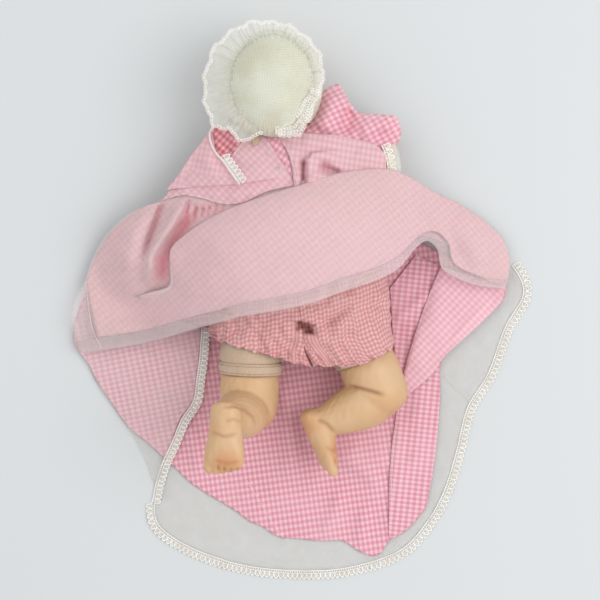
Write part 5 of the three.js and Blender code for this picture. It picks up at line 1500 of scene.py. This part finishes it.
# the lips are painted in the same darker tan as the painted shade in the creases
lips = np.hypot((skin_points[:, 0] - HEAD[0]) / 7.5, (skin_points[:, 1] - HEAD[1] + 23.5) / 4.4)
mark(head.data, "crease_shade_and_lip_paint", 0.55 * smooth(1.1 - lips, 0, 0.3) * (skin_points[:, 2] < 14))
head_wall = head.modifiers.new("vinyl_wall", "SOLIDIFY")
head_wall.thickness = 2.4 * MM
head_wall.offset = -1
head.data.shade_smooth()
belongs(head, "head", "vinyl", "head_shell")

# %% [markdown]
# The sleep eyes are glossy balls on a weighted rocker. White, iris and pupil are rings round the direction
# of sight, kept as an attribute of the mesh, and the upper part of each ball is painted as the lid that
# closes over it.

# %% Eyes and rocker
def eye_finish():
    f = Finish("sleep_eye", Roughness=0.12, Specular_IOR_Level=0.5, Coat_Weight=0.4, Coat_Roughness=0.08)
    ring = f.attribute("ring")
    speckle = f.maths("MULTIPLY", f.maths("SUBTRACT", f.noise(0.9, 3.0), 0.5), 0.05)
    white, edge_blue = tone(238, 236, 230), tone(44, 62, 92)
    iris = f.ramp(f.maths("ADD", ring, speckle), [
        (0.0, tone(14, 14, 18)), (0.2, tone(16, 16, 22)), (0.23, tone(112, 142, 176)),
        (0.38, tone(86, 118, 158)), (0.44, edge_blue), (0.48, white)])
    f.colour(f.blend(f.attribute("lid"), iris, tone(214, 172, 132)))
    return f.material


def worn_metal(name, colour, dark, roughness):
    f = Finish(name, Metallic=1.0, Roughness=roughness)
    dull = f.remap(f.noise(3.0, 4.0), 0.4, 0.7)
    f.colour(f.blend(dull, colour, dark))
    f.feed(f.shader.inputs["Roughness"], f.remap(f.noise(1.4), 0.3, 0.7, roughness - 0.08, roughness + 0.15))
    f.bump(f.noise(0.8), 0.04, 0.4)
    return f.material


EYE_FINISH = eye_finish()
LEAD_FINISH = worn_metal("cast_lead", tone(128, 130, 136), tone(84, 86, 92), 0.55)
SNAP_FINISH = worn_metal("nickel_plate", tone(196, 196, 194), tone(140, 138, 132), 0.3)

for side, (centre, aim) in EYES.items():
    mesh = closed_mesh(f"eye_{side}_ball", [ellipsoid(centre, (EYE_RADIUS,) * 3, 64, 40)])
    ball = add_object(f"eye_{side}_ball", mesh, EYE_FINISH)
    mesh.shade_smooth()
    out = (points_of(mesh) - centre) / EYE_RADIUS
    mark(mesh, "ring", np.arccos(np.clip(out @ aim, -1, 1)) / math.pi * 2)
    mark(mesh, "lid", smooth(out[:, 1], 0.72, 0.78))
    belongs(ball, "eyes", "eye", f"eye_{side}")
for node, finish in (("eye_rocker", LEAD_FINISH), ("eye_cradle", SNAP_FINISH)):
    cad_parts[node].data.materials.clear()
    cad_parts[node].data.materials.append(finish)
print("head, eyes and rocker made")

# %% [markdown]
# The bonnet is white waffle pique: a round crown over the back of the head, a band to the ears and a frill
# of organdie sewn round the crown. The waffle is real relief on the crown, a grid of raised ridges 2.5 mm
# apart, because that is the part the camera looks straight at.

# %% Bonnet finishes and crown
WAFFLE = 2.5
BONNET_OUT = 1.7
RIM_Z = HEAD[2] + 0.592 * HEAD_RADII[2]
SHELL = HEAD_RADII + BONNET_OUT
rim_scale = math.sqrt(1 - ((RIM_Z - HEAD[2]) / SHELL[2]) ** 2)
RIM = SHELL[:2] * rim_scale


def pique(name):
    f = Finish(name, Roughness=0.93, Specular_IOR_Level=0.12, Sheen_Weight=0.1, Sheen_Roughness=0.6)
    u, v = f.grain()
    pit = f.maths("MULTIPLY", f.remap(f.wave(u, WAFFLE), -1, 0.6), f.remap(f.wave(v, WAFFLE), -1, 0.6))
    yellowed = f.remap(f.noise(30.0), 0.35, 0.7)
    base = f.blend(yellowed, tone(223, 223, 206), tone(215, 212, 189))
    # darker in the waffle pits: painted shade in the recesses
    f.colour(f.blend(f.maths("MULTIPLY", pit, 0.3), base, tone(196, 194, 170)))
    yarn = f.maths("ADD", f.wave(u, 0.5), f.wave(v, 0.5))
    f.bump(f.maths("ADD", f.maths("MULTIPLY", pit, -2.5), f.maths("MULTIPLY", yarn, 0.4)), 0.2, 0.5)
    return f.material


PIQUE_FINISH = pique("waffle_pique")


def shell_height(x, y, least=0.02):
    """Height of the bonnet over a place given from the middle of the head."""
    inside = np.clip(1 - (x / SHELL[0]) ** 2 - (y / SHELL[1]) ** 2, least, 1)
    return HEAD[2] + SHELL[2] * np.sqrt(inside)


def waffle(u, v):
    return np.maximum(np.cos(2 * math.pi * u / WAFFLE), np.cos(2 * math.pi * v / WAFFLE))


side = np.linspace(-1, 1, 151)
su, sv = np.meshgrid(side, side, indexing="ij")
disc = np.stack([su * np.sqrt(1 - sv**2 / 2), sv * np.sqrt(1 - su**2 / 2)], -1)
out = np.hypot(disc[..., 0], disc[..., 1])
angle = np.arctan2(disc[..., 1], disc[..., 0])
nape = 1 + 0.15 * out**2 * np.exp(-((np.degrees(angle) + 86) / 46) ** 2)
plan = disc * (RIM + 0.4) * nape[..., None]
z = shell_height(*split(plan), 0.1)
grain = threads(plan, -8, planar=True)
u, v = split(grain)
pucker = 0.7 * np.sin(46 * angle + 2 * np.sin(7 * angle)) * smooth(out, 0.84, 1)
z = z + 0.32 * waffle(u, v) * smooth(1 - out, 0, 0.06) + pucker + 0.6 * ripple(u, v, 26, 61)
z = z - 0.6 * smooth(out, 0.95, 1)
z = z + 36 * (nape - 1)  # the nape stands off, clear of the bodice when the head turns
points = np.concatenate([plan + HEAD[:2], z[..., None]], -1)
crown = cloth("bonnet_crown_cloth", points, PIQUE_FINISH, CLOTH, grain)
belongs(crown, "head", "pique", "bonnet_crown")

# %% [markdown]
# The band runs forward from the rim of the crown to the ears, level by level round the head, and leaves the
# nape open. It is gathered a little where it meets the crown.

# %% Bonnet band
BAND_FRONT_Z = HEAD[2] - 0.245 * HEAD_RADII[2]
NAPE_DROP = 0.692 * HEAD_RADII[1]
t = np.linspace(0, 1, 46)
level = BAND_FRONT_Z + (RIM_Z - 0.3 - BAND_FRONT_Z) * t
scale = np.sqrt(1 - ((level - HEAD[2]) / SHELL[2]) ** 2)
start = np.arcsin(np.clip(-NAPE_DROP / (SHELL[1] * scale), -1, 1))
share = np.linspace(0, 1, 260)[:, None]
angle = start + (math.pi - 2 * start) * share
gather = 0.35 * np.sin(90 * angle) * smooth(t, 0.75, 1)
radius = 1 + (0.5 * waffle(angle * 50, t * 40) * 0.4 + gather) / 50
points = np.stack([
    HEAD[0] + SHELL[0] * scale * radius * np.cos(angle), HEAD[1] + SHELL[1] * scale * radius * np.sin(angle),
    level + 0 * angle], -1)
bonnet_band = cloth("bonnet_band_cloth", points, PIQUE_FINISH, CLOTH)
belongs(bonnet_band, "head", "pique", "bonnet_band")
print("bonnet crown and band made")

# %% [markdown]
# The frill is a strip of organdie nearly twice as long as the seam it is sewn to. The extra length stands
# up in soft flutes that open outwards, wide on the left and top where the frill lies free, narrow on the
# right.

# %% Bonnet frill and chin tie
FRILL_SEAM = np.array([  # degrees round the crown, place of the seam as a share of the crown's rim
    (-82, 0.93), (-60, 0.84), (-40, 0.82), (-22, 0.88), (0, 0.97), (30, 0.98), (180, 0.98), (216, 1.0),
    (236, 0.97), (246, 1.02), (256, 1.06)])
FRILL_EDGE = np.array([
    (-82, 1.1), (-70, 1.24), (-60, 1.28), (-46, 1.22), (-36, 1.12), (-22, 1.1), (0, 1.19), (27, 1.25),
    (56, 1.21), (90, 1.23), (128, 1.4), (154, 1.55), (180, 1.61), (192, 1.65), (203, 1.66), (212, 1.7),
    (217, 1.58), (223, 1.46), (237, 1.44), (244, 1.38), (256, 1.1)])


def pleats(angle, counts, seed):
    """Narrow creases at uneven places round a seam."""
    draw = np.random.default_rng(seed)
    total = np.zeros_like(angle)
    for count in counts:
        phase, bend = draw.uniform(0, 6.28, 2)
        total = total + (
            1 - np.abs(np.sin(0.5 * count * angle + phase + 0.8 * np.sin(3 * angle + bend)))) ** 2
    return total / len(counts)


away = np.linspace(0, 1, 30)[None]
degrees = np.linspace(FRILL_SEAM[0, 0], FRILL_SEAM[-1, 0], 620)[:, None]
angle = np.radians(degrees)
seam, rim = np.interp(degrees, *FRILL_SEAM.T), np.interp(degrees, *FRILL_EDGE.T)
rim = rim * (1 + 0.02 * np.sin(17 * angle) + 0.012 * np.sin(41 * angle + 1))
seam = seam * (1 - 0.05 * (0.5 + 0.5 * np.sin(19 * angle + 1.5 * np.sin(5 * angle))))
r = seam + (rim - seam) * away
slip = np.radians(2.2) * (pleats(angle, (23, 37), 5) - 0.3) * away
x, y = r * RIM[0] * np.cos(angle + slip), r * RIM[1] * np.sin(angle + slip)
z = np.maximum(shell_height(x, y) + 0.5, RIM_Z + 0.8 - 7 * np.clip(r - 1, 0, 1)) + 0.8 * smooth(away, 0, 0.3)
at_seam = pleats(angle, (61, 83, 107), 6) * (1 - away) ** 1.5 * smooth(away, -0.02, 0.12)
creases = at_seam + 1.1 * pleats(angle, (29, 43), 7) * smooth(away, 0, 0.5)
z = z + 2.6 * creases + 0.9 * np.sin(13 * angle + 1.4 * np.sin(4 * angle)) * away
points = np.stack([HEAD[0] + x, HEAD[1] + y, z], -1)
frill_edge = points[:, -2].copy()
frill_rows = [points[:130, k].copy() for k in (8, 16, 23)]  # eyelets in rows where the frill is bunched
frill = cloth("bonnet_frill", points, SHEER_RUFFLE, 0.3)
belongs(frill, "head", "lace", "bonnet_ruffle")

TIE_Y, TIE_WIDTH, TIE_LIFT = HEAD[1] - 31, 7.0, 7.6
u = np.linspace(0, 1, 140)[:, None]
v = np.linspace(0, 1, 12)[None]
y = TIE_Y + TIE_WIDTH * (v - 0.5) + 0.4 * np.sin(9 * u)
scale = np.sqrt(1 - ((y - HEAD[1]) / (HEAD_RADII[1] + TIE_LIFT)) ** 2)
angle = math.pi * (1.1 + 0.8 * u)
points = np.stack([
    HEAD[0] + (HEAD_RADII[0] + TIE_LIFT) * scale * np.cos(angle), y + 0 * u,
    HEAD[2] + (HEAD_RADII[2] + TIE_LIFT) * scale * np.sin(angle) + 0.3 * np.sin(40 * u)], -1)
tie = cloth("bonnet_tie_cloth", points, PIQUE_FINISH, 0.4)
belongs(tie, "head", "pique", "bonnet_chin_tie")

neck_place = frame_at((HEAD[0], 0, NECK_Z), (0, 1, 0))
neck_band = band(
    "neck_hem", neck_place, NECK_Y + 1.8, NECK_Y + NECK_SHOW - 0.2, NECK_RADIUS + 1.8, 24, 0.25,
    MUSLIN_SKIN, 1.0, 130)
belongs(neck_band, "doll_body", "muslin", "neck_casing")
NECK_TAB = edge([(-49, 165), (-48.5, 159), (-47, 154)]), edge([(-40, 165), (-40.5, 160), (-42, 155)])
back_piece("neck_hem_end", NECK_TAB, (14, 14), [], MUSLIN_SKIN, 0.9, 0, uneven=0.2, slot="muslin")
print("bonnet made")

# %% [markdown]
# Lace and stitches repeat along a path, so Geometry Nodes make them: the path is resampled to the pitch,
# one small motif is placed at every point and turned along the path, and the result is turned into a plain
# mesh. The same tree serves the scalloped lace and the sewing stitches; only the motif, the pitch and the
# finish change.

# %% Path tree
def path_tree():
    tree = bpy.data.node_groups.new("motifs_along_path", "GeometryNodeTree")
    face = tree.interface
    face.new_socket("Path", in_out="INPUT", socket_type="NodeSocketGeometry")
    for name, kind in (("Motif", "Object"), ("Pitch", "Float"), ("Finish", "Material")):
        face.new_socket(name, in_out="INPUT", socket_type=f"NodeSocket{kind}")
    face.new_socket("Trim", in_out="OUTPUT", socket_type="NodeSocketGeometry")
    add, link = tree.nodes.new, tree.links.new
    start, end = add("NodeGroupInput"), add("NodeGroupOutput")
    curve, even = add("GeometryNodeMeshToCurve"), add("GeometryNodeResampleCurve")
    motif, tangent = add("GeometryNodeObjectInfo"), add("GeometryNodeInputTangent")
    turn, place = add("FunctionNodeAlignEulerToVector"), add("GeometryNodeInstanceOnPoints")
    real, finish = add("GeometryNodeRealizeInstances"), add("GeometryNodeSetMaterial")
    even.mode = "LENGTH"
    turn.axis, turn.pivot_axis = "X", "Z"
    for source, out, target, into in (
            (start, "Path", curve, "Mesh"), (curve, "Curve", even, "Curve"), (start, "Pitch", even, "Length"),
            (start, "Motif", motif, "Object"), (tangent, "Tangent", turn, "Vector"),
            (even, "Curve", place, "Points"), (motif, "Geometry", place, "Instance"),
            (turn, "Rotation", place, "Rotation"), (place, "Instances", real, "Geometry"),
            (real, "Geometry", finish, "Geometry"), (start, "Finish", finish, "Material"),
            (finish, "Geometry", end, "Trim")):
        link(source.outputs[out], target.inputs[into])
    return tree


PATH_TREE = path_tree()


def along(name, paths, motif, pitch, finish):
    """Place a motif every `pitch` mm along open paths, as one plain mesh."""
    mesh = bpy.data.meshes.new(name)
    vertices, edges = [], []
    for path in paths:
        first = len(vertices)
        vertices += [tuple(p * MM) for p in np.asarray(path)]
        edges += [(k, k + 1) for k in range(first, len(vertices) - 1)]
    mesh.from_pydata(vertices, edges, [])
    piece = add_object(name, mesh)
    nodes = piece.modifiers.new("along_path", "NODES")
    nodes.node_group = PATH_TREE
    socket = {item.name: item.identifier for item in PATH_TREE.interface.items_tree if item.in_out == "INPUT"}
    nodes[socket["Motif"]] = motif
    nodes[socket["Pitch"]] = pitch * MM
    nodes[socket["Finish"]] = finish
    plain(piece)
    return piece


# %% [markdown]
# The lace motif is one scallop of the edging: a sewn heading, a row of small openings and an arch with a
# second arch inside it, cut as narrow ribbons. A stitch is a short thread with tapered ends.

# %% Motifs
LACE_PITCH = 4.6
LACE_WIDTH = 9.0
STITCH_PITCH = 2.9
EYELET_PITCH = 3.4


def ribbons(name, lines, thickness):
    """Flat ribbons along plan lines of (points, width), each a closed thin strip."""
    forms = []
    for level, (points, width) in enumerate(lines):
        p = np.array(points, float)
        d = np.gradient(p, axis=0)
        n = np.stack([-d[:, 1], d[:, 0]], -1) / np.linalg.norm(d, axis=1, keepdims=True) * width / 2
        z = (0.08 * level + 0.02 * p[:, 0])[:, None]  # no two ribbons lie in one plane
        corners = [(p - n, z), (p + n, z), (p + n, z + thickness), (p - n, z + thickness)]
        forms.append(np.stack([np.concatenate(corner, -1) for corner in corners], 1))
    return bpy.data.objects.new(name, closed_mesh(name, forms))


def arch(half, low, high, steps):
    a = np.linspace(math.pi, 0, steps)
    return np.stack([half * np.cos(a), low + (high - low) * np.sin(a)], -1)


def stitch_mesh(length=2.3, half=0.34):
    ring = [(-length / 2, 0.12), (-length / 4, half), (length / 4, half), (length / 2, 0.12)]
    form = turned(ring, 6, 4)[:, :, [1, 0, 2]] * np.array([1, 1, 0.8])
    return bpy.data.objects.new("stitch_motif", closed_mesh("stitch_motif", [form]))


half = LACE_PITCH / 2
SCALLOP = ribbons("scallop_motif", [
    ([(-half, 0.5), (half, 0.5)], 0.9), ([(-half, 3.0), (half, 3.0)], 0.55),
    ([(0, 0.5), (0, 3.0)], 0.55), ([(-half, 0.5), (-half, 3.0)], 0.5),
    (arch(half, 3.0, LACE_WIDTH - 0.4, 9), 0.9), (arch(0.5 * half, 3.0, 6.0, 6), 0.5),
    ([(0, 6.0), (0, LACE_WIDTH - 0.4)], 0.45)], 0.06)
EYELET = ribbons("eyelet_motif", [
    ([(-1.7, -0.3), (1.7, -0.3)], 0.5), (arch(1.7, -0.3, 2.4, 8), 0.6), (arch(0.7, 0.2, 1.2, 6), 0.35)], 0.06)
STITCH = stitch_mesh()


def lace_finish():
    f = Finish("old_lace", Roughness=0.9, Specular_IOR_Level=0.15, Sheen_Weight=0.1, Sheen_Roughness=0.6)
    aged = f.remap(f.noise(14.0), 0.35, 0.7)
    f.colour(f.blend(aged, tone(248, 245, 239), tone(240, 234, 224)))
    f.bump(f.noise(0.5, 2.0), 0.12, 0.6)
    return f.material


def thread_finish(name, colour, worn):
    f = Finish(name, Roughness=0.7, Specular_IOR_Level=0.25)
    f.colour(f.blend(f.remap(f.noise(3.0), 0.35, 0.65), colour, worn))
    f.bump(f.noise(0.3, 1.0), 0.06, 0.6)
    return f.material


LACE_FINISH = lace_finish()
SEWING_THREAD = thread_finish("sewing_thread_white", tone(242, 232, 228), tone(232, 214, 212))
MUSLIN_THREAD = thread_finish("sewing_thread_natural", tone(176, 146, 122), tone(160, 130, 106))
NET_FINISH = organdie("lace_net", tone(250, 247, 241), 0.45)


def lace(name, path, side, height=at_level(0.7), width=LACE_WIDTH, wavy=0.8, finish=NET_FINISH):
    """A lace edging sewn to a plan path: a net strip and scallops, on its left (+1) or right (-1) side."""
    d = np.gradient(path, axis=0)
    n = side * np.stack([-d[:, 1], d[:, 0]], -1) / np.linalg.norm(d, axis=1, keepdims=True)
    v = np.linspace(0, 1, 7)
    seen = path[:, None] + n[:, None] * (0.2 + width * v)[None, :, None]
    rise = wavy * (0.6 + 0.6 * ripple(seen[..., 0], seen[..., 1], 16, 71)) * v[None]
    points = lift(seen, height, np.maximum(rise, 0))
    belongs(cloth(f"{name}_net", points, finish, SHEER), "doll_body", "lace", name)
    sewn = points[:, 0] + np.array([0, 0, 0.5])
    scallops = along(f"{name}_scallops", [sewn if side > 0 else sewn[::-1]], SCALLOP, LACE_PITCH, LACE_FINISH)
    flat = points_of(scallops.data)
    heading, border = points[::4, 0], points[::4, -1]
    near = np.argmin(np.hypot(flat[:, None, 0] - border[None, :, 0],
                              flat[:, None, 1] - border[None, :, 1]), 1)
    out = np.hypot(*(flat[:, :2] - heading[near][:, :2]).T) / width
    flat[:, 2] += out * (border[near][:, 2] - heading[near][:, 2])
    set_points(scallops.data, flat)
    return belongs(scallops, "doll_body", "lace")


LEFT_LACE = edge([
    (-99, -30), (-101, -58), (-104, -80), (-107, -100), (-119, -119), (-129, -143), (-137, -160),
    (-144, -181), (-148, -200)])
SLEEVE_LACE = edge([(-78, 140), (-74, 134), (-68, 126), (-62, 117)])
CUFF_LACE = edge([(82, 152), (85, 144), (87, 134), (87, 125)])


def side_level(x, y):
    return 1.2 + 4.6 * smooth(y, -168, -150)


edgings = [
    lace("overskirt_hem_lace", OVER_HEM(np.linspace(0.262, 0.985, 420)), -1),
    lace("overskirt_left_lace", LEFT_LACE(np.linspace(0, 1, 160)), 1, side_level),
    lace("sleeve_left_lace", SLEEVE_LACE(np.linspace(0, 1, 50)), 1, over(2.0), 6.5, 0.6),
    lace("sleeve_right_lace", CUFF_LACE(np.linspace(0, 1, 50)), 1, over(0.4), 14.0, 2.0, SHEER_RUFFLE),
]
eyelet_rows = [row[::-1] + np.array([0, 0, 0.6]) for row in (frill_edge, *frill_rows)]
belongs(along("bonnet_frill_lace", eyelet_rows, EYELET, EYELET_PITCH, LACE_FINISH), "head", "lace")
print("lace:", sum(len(piece.data.polygons) for piece in edgings), "scallop faces")

# %% [markdown]
# Stitch lines are drawn as they are seen and cast down onto the cloth, so that each stitch lies on the fold
# it is sewn through.

# %% Stitches
def on_cloth(points, *pieces, above=0.35):
    """Cast plan points down their sight lines onto pieces."""
    meshes = [piece.data for piece in pieces]
    trees = [BVHTree.FromPolygons([v.co for v in m.vertices], [f.vertices for f in m.polygons])
             for m in meshes]
    eye = Vector((0, 0, CAMERA_HEIGHT * MM))
    hits = []
    for x, y in points:
        ray = (Vector((x * MM, y * MM, 0)) - eye).normalized()
        found = [hit for hit in (tree.ray_cast(eye, ray) for tree in trees) if hit[0] is not None]
        if found:
            hits.append(np.array(min(found, key=lambda hit: hit[3])[0] - ray * above * MM) / MM)
    return np.array(hits)


def drawn(points, count=60):
    return edge(points)(np.linspace(0, 1, count))


DRESS_SEAMS = [
    ([(-137, 97), (-125, 104), (-106, 104), (-87, 100), (-68, 95), (-58, 96)], (bodice_left, skirt_back)),
    ([(-53, -181), (-40, -202), (-28, -222), (-18, -236)], (skirt_front,)),
    ([(99.5, -99), (97, -123), (94, -145), (92, -171), (91, -195), (91, -232)], (right_panel,)),
    ([(203, 9), (198, -3), (180, -21), (142, -55)], (right_panel,)),
    ([(146, -77), (155, -88), (166, -97), (173, -105)], (overskirt_front,)),
    ([(-214, 17), (-211, -10), (-207, -31), (-199, -47)], (overskirt_back,)),
    ([(2, 172), (13, 190), (20, 201), (27, 208), (37, 213), (42, 207), (49, 194), (60, 184),
      (85, 182), (95, 180), (97, 172), (92, 164)], (sleeve_right,)),
    ([(-12, 152), (-8, 140), (-5, 126), (-3, 116)], (bodice_right,)),
]
seams = [on_cloth(drawn(points, 90), *pieces) for points, pieces in DRESS_SEAMS]
dress_stitches = along("dress_stitches", seams, STITCH, STITCH_PITCH, SEWING_THREAD)
belongs(dress_stitches, "doll_body", "lace")
for side, leg in LEGS.items():
    a = np.linspace(0, 2 * math.pi, 160)
    r = THIGH_RADIUS + 1.9
    rings = []
    for y in (leg["casing"] + 2.2, leg["casing"] + CASING_LENGTH - 2.0):
        rings.append(placed([np.stack([r * np.cos(a), y + 0 * a, r * np.sin(a)], -1)], leg["place"])[0])
    sewn = along(f"{side}_thigh_stitches", rings, STITCH, STITCH_PITCH, MUSLIN_THREAD)
    belongs(sewn, f"{side}_hip_and_thigh", "muslin")
print("stitches:", len(dress_stitches.data.polygons), "faces on the dress")

# %% [markdown]
# The left armhole is bound with a narrow white piping that ends where the sleeve's lace begins.

# %% Piping
PIPING = [(-86, 173), (-90, 168), (-89, 157), (-84, 147), (-77, 139), (-70, 129), (-63, 119)]
PIPING_RADIUS = 1.1


def piping(name, points, radius, material, segments=10):
    """A round binding through points in mm."""
    d = np.gradient(points, axis=0)
    d /= np.linalg.norm(d, axis=1, keepdims=True)
    side = np.cross(d, (0, 0, 1))
    side /= np.linalg.norm(side, axis=1, keepdims=True)
    up = np.cross(side, d)
    a = np.linspace(0, 2 * math.pi, segments, endpoint=False)
    ring = side[:, None] * np.cos(a)[None, :, None] + up[:, None] * np.sin(a)[None, :, None]
    piece = add_object(name, closed_mesh(name, [points[:, None] + radius * ring]), material)
    piece.data.shade_smooth()
    return piece


PIPING_FINISH = thread_finish("white_piping", tone(240, 226, 222), tone(234, 212, 208))
binding = piping("armhole_piping", lift(drawn(PIPING, 70), over(2.0)), PIPING_RADIUS, PIPING_FINISH)
belongs(binding, "doll_body", "lace")
print(binding.name, len(binding.data.polygons), "faces")

# %% [markdown]
# The elastics are knitted tapes inside the bloomers, one round each hem and one at the waist. The press
# studs are small nickel caps sewn to the open edge of the bodice.

# %% Elastics and press studs
TAPE_INSIDE = 0.9  # how far the elastic lies inside the narrowest part of the frill
TAPE_OFF_SEAM = 0.6  # it cuts the corner at the centre seam, so the two elastics never meet
TAPE_ROWS = slice(76, 82)  # the rows of the bloomers that the elastic lies under


def tape(name, points, body, node):
    return belongs(cloth(name, points, ELASTIC_FINISH, 0.9, loop=True), body, "elastic", node)


for side, piece in bloomers.items():
    net = points_of(piece.data).reshape(AROUND - 1, ALONG, 3)[:, TAPE_ROWS]
    hip, down = np.array(LEGS[side]["hip"], float), LEGS[side]["place"][:3, 1]
    along_thigh = ((net - hip) @ down)[..., None] * down
    radial = net - hip - along_thigh
    r = np.linalg.norm(radial, axis=2, keepdims=True)
    inside = np.min([np.roll(r, k, axis=0) for k in range(-5, 6)], axis=0) - TAPE_INSIDE
    inside = inside - TAPE_OFF_SEAM * np.maximum(inside - THIGH_CLEAR - 6, 0)
    low = hip + along_thigh + radial / r * inside
    low = np.concatenate([low, low[:1]])
    tape(f"bloomers_{side}_tape", low, f"{side}_hip_and_thigh", f"bloomers_{side}_elastic")
a = np.linspace(0, 2 * math.pi, 141)[:, None]
y = np.linspace(77, 83, 7) + 0 * a
crimp = 0.25 * np.sin(60 * a)
waist = np.stack([(53.0 + crimp) * np.cos(a) + 0 * y, y, (36.8 + crimp) * np.sin(a) + 0 * y], -1)
waist[-1] = waist[0]
tape("bloomers_waist_tape", placed([waist], TORSO_PLACE)[0], "doll_body", "bloomers_waist_elastic")

STUD = turned([
    (0, 0.2), (0.03, 1.5), (0.3, 1.6), (0.5, 1.4), (0.6, 0.8), (0.9, 0.7), (1.0, 0.4), (1.02, 0.1)], 32, 40)
for name in ("upper", "lower"):
    low, high = (np.array(c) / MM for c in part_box(f"back_snap_{name}"))
    middle = (low + high) / 2
    spot = on_cloth([seen_from_above(middle[None])[0]], bodice_left, above=0.3)[0]
    caps = placed([STUD], frame_at(spot, (0, 0, 1), (0, 1, 0)))
    stud = add_object(f"press_stud_{name}", closed_mesh(f"press_stud_{name}", caps), SNAP_FINISH)
    stud.data.shade_smooth()
    belongs(stud, "doll_body", "snap_metal", f"back_snap_{name}")
print("tapes and press studs made")

# %% [markdown]
# The bloomers cross the hip joints. Each half has its place baked into its mesh, and its CAD solid is hidden.

# %% Bloomer halves
for side, piece in bloomers.items():
    hip, down = np.array(LEGS[side]["hip"], float), np.array(LEGS[side]["thigh"], float)
    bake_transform(piece)
    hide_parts(f"bloomers_{side}")
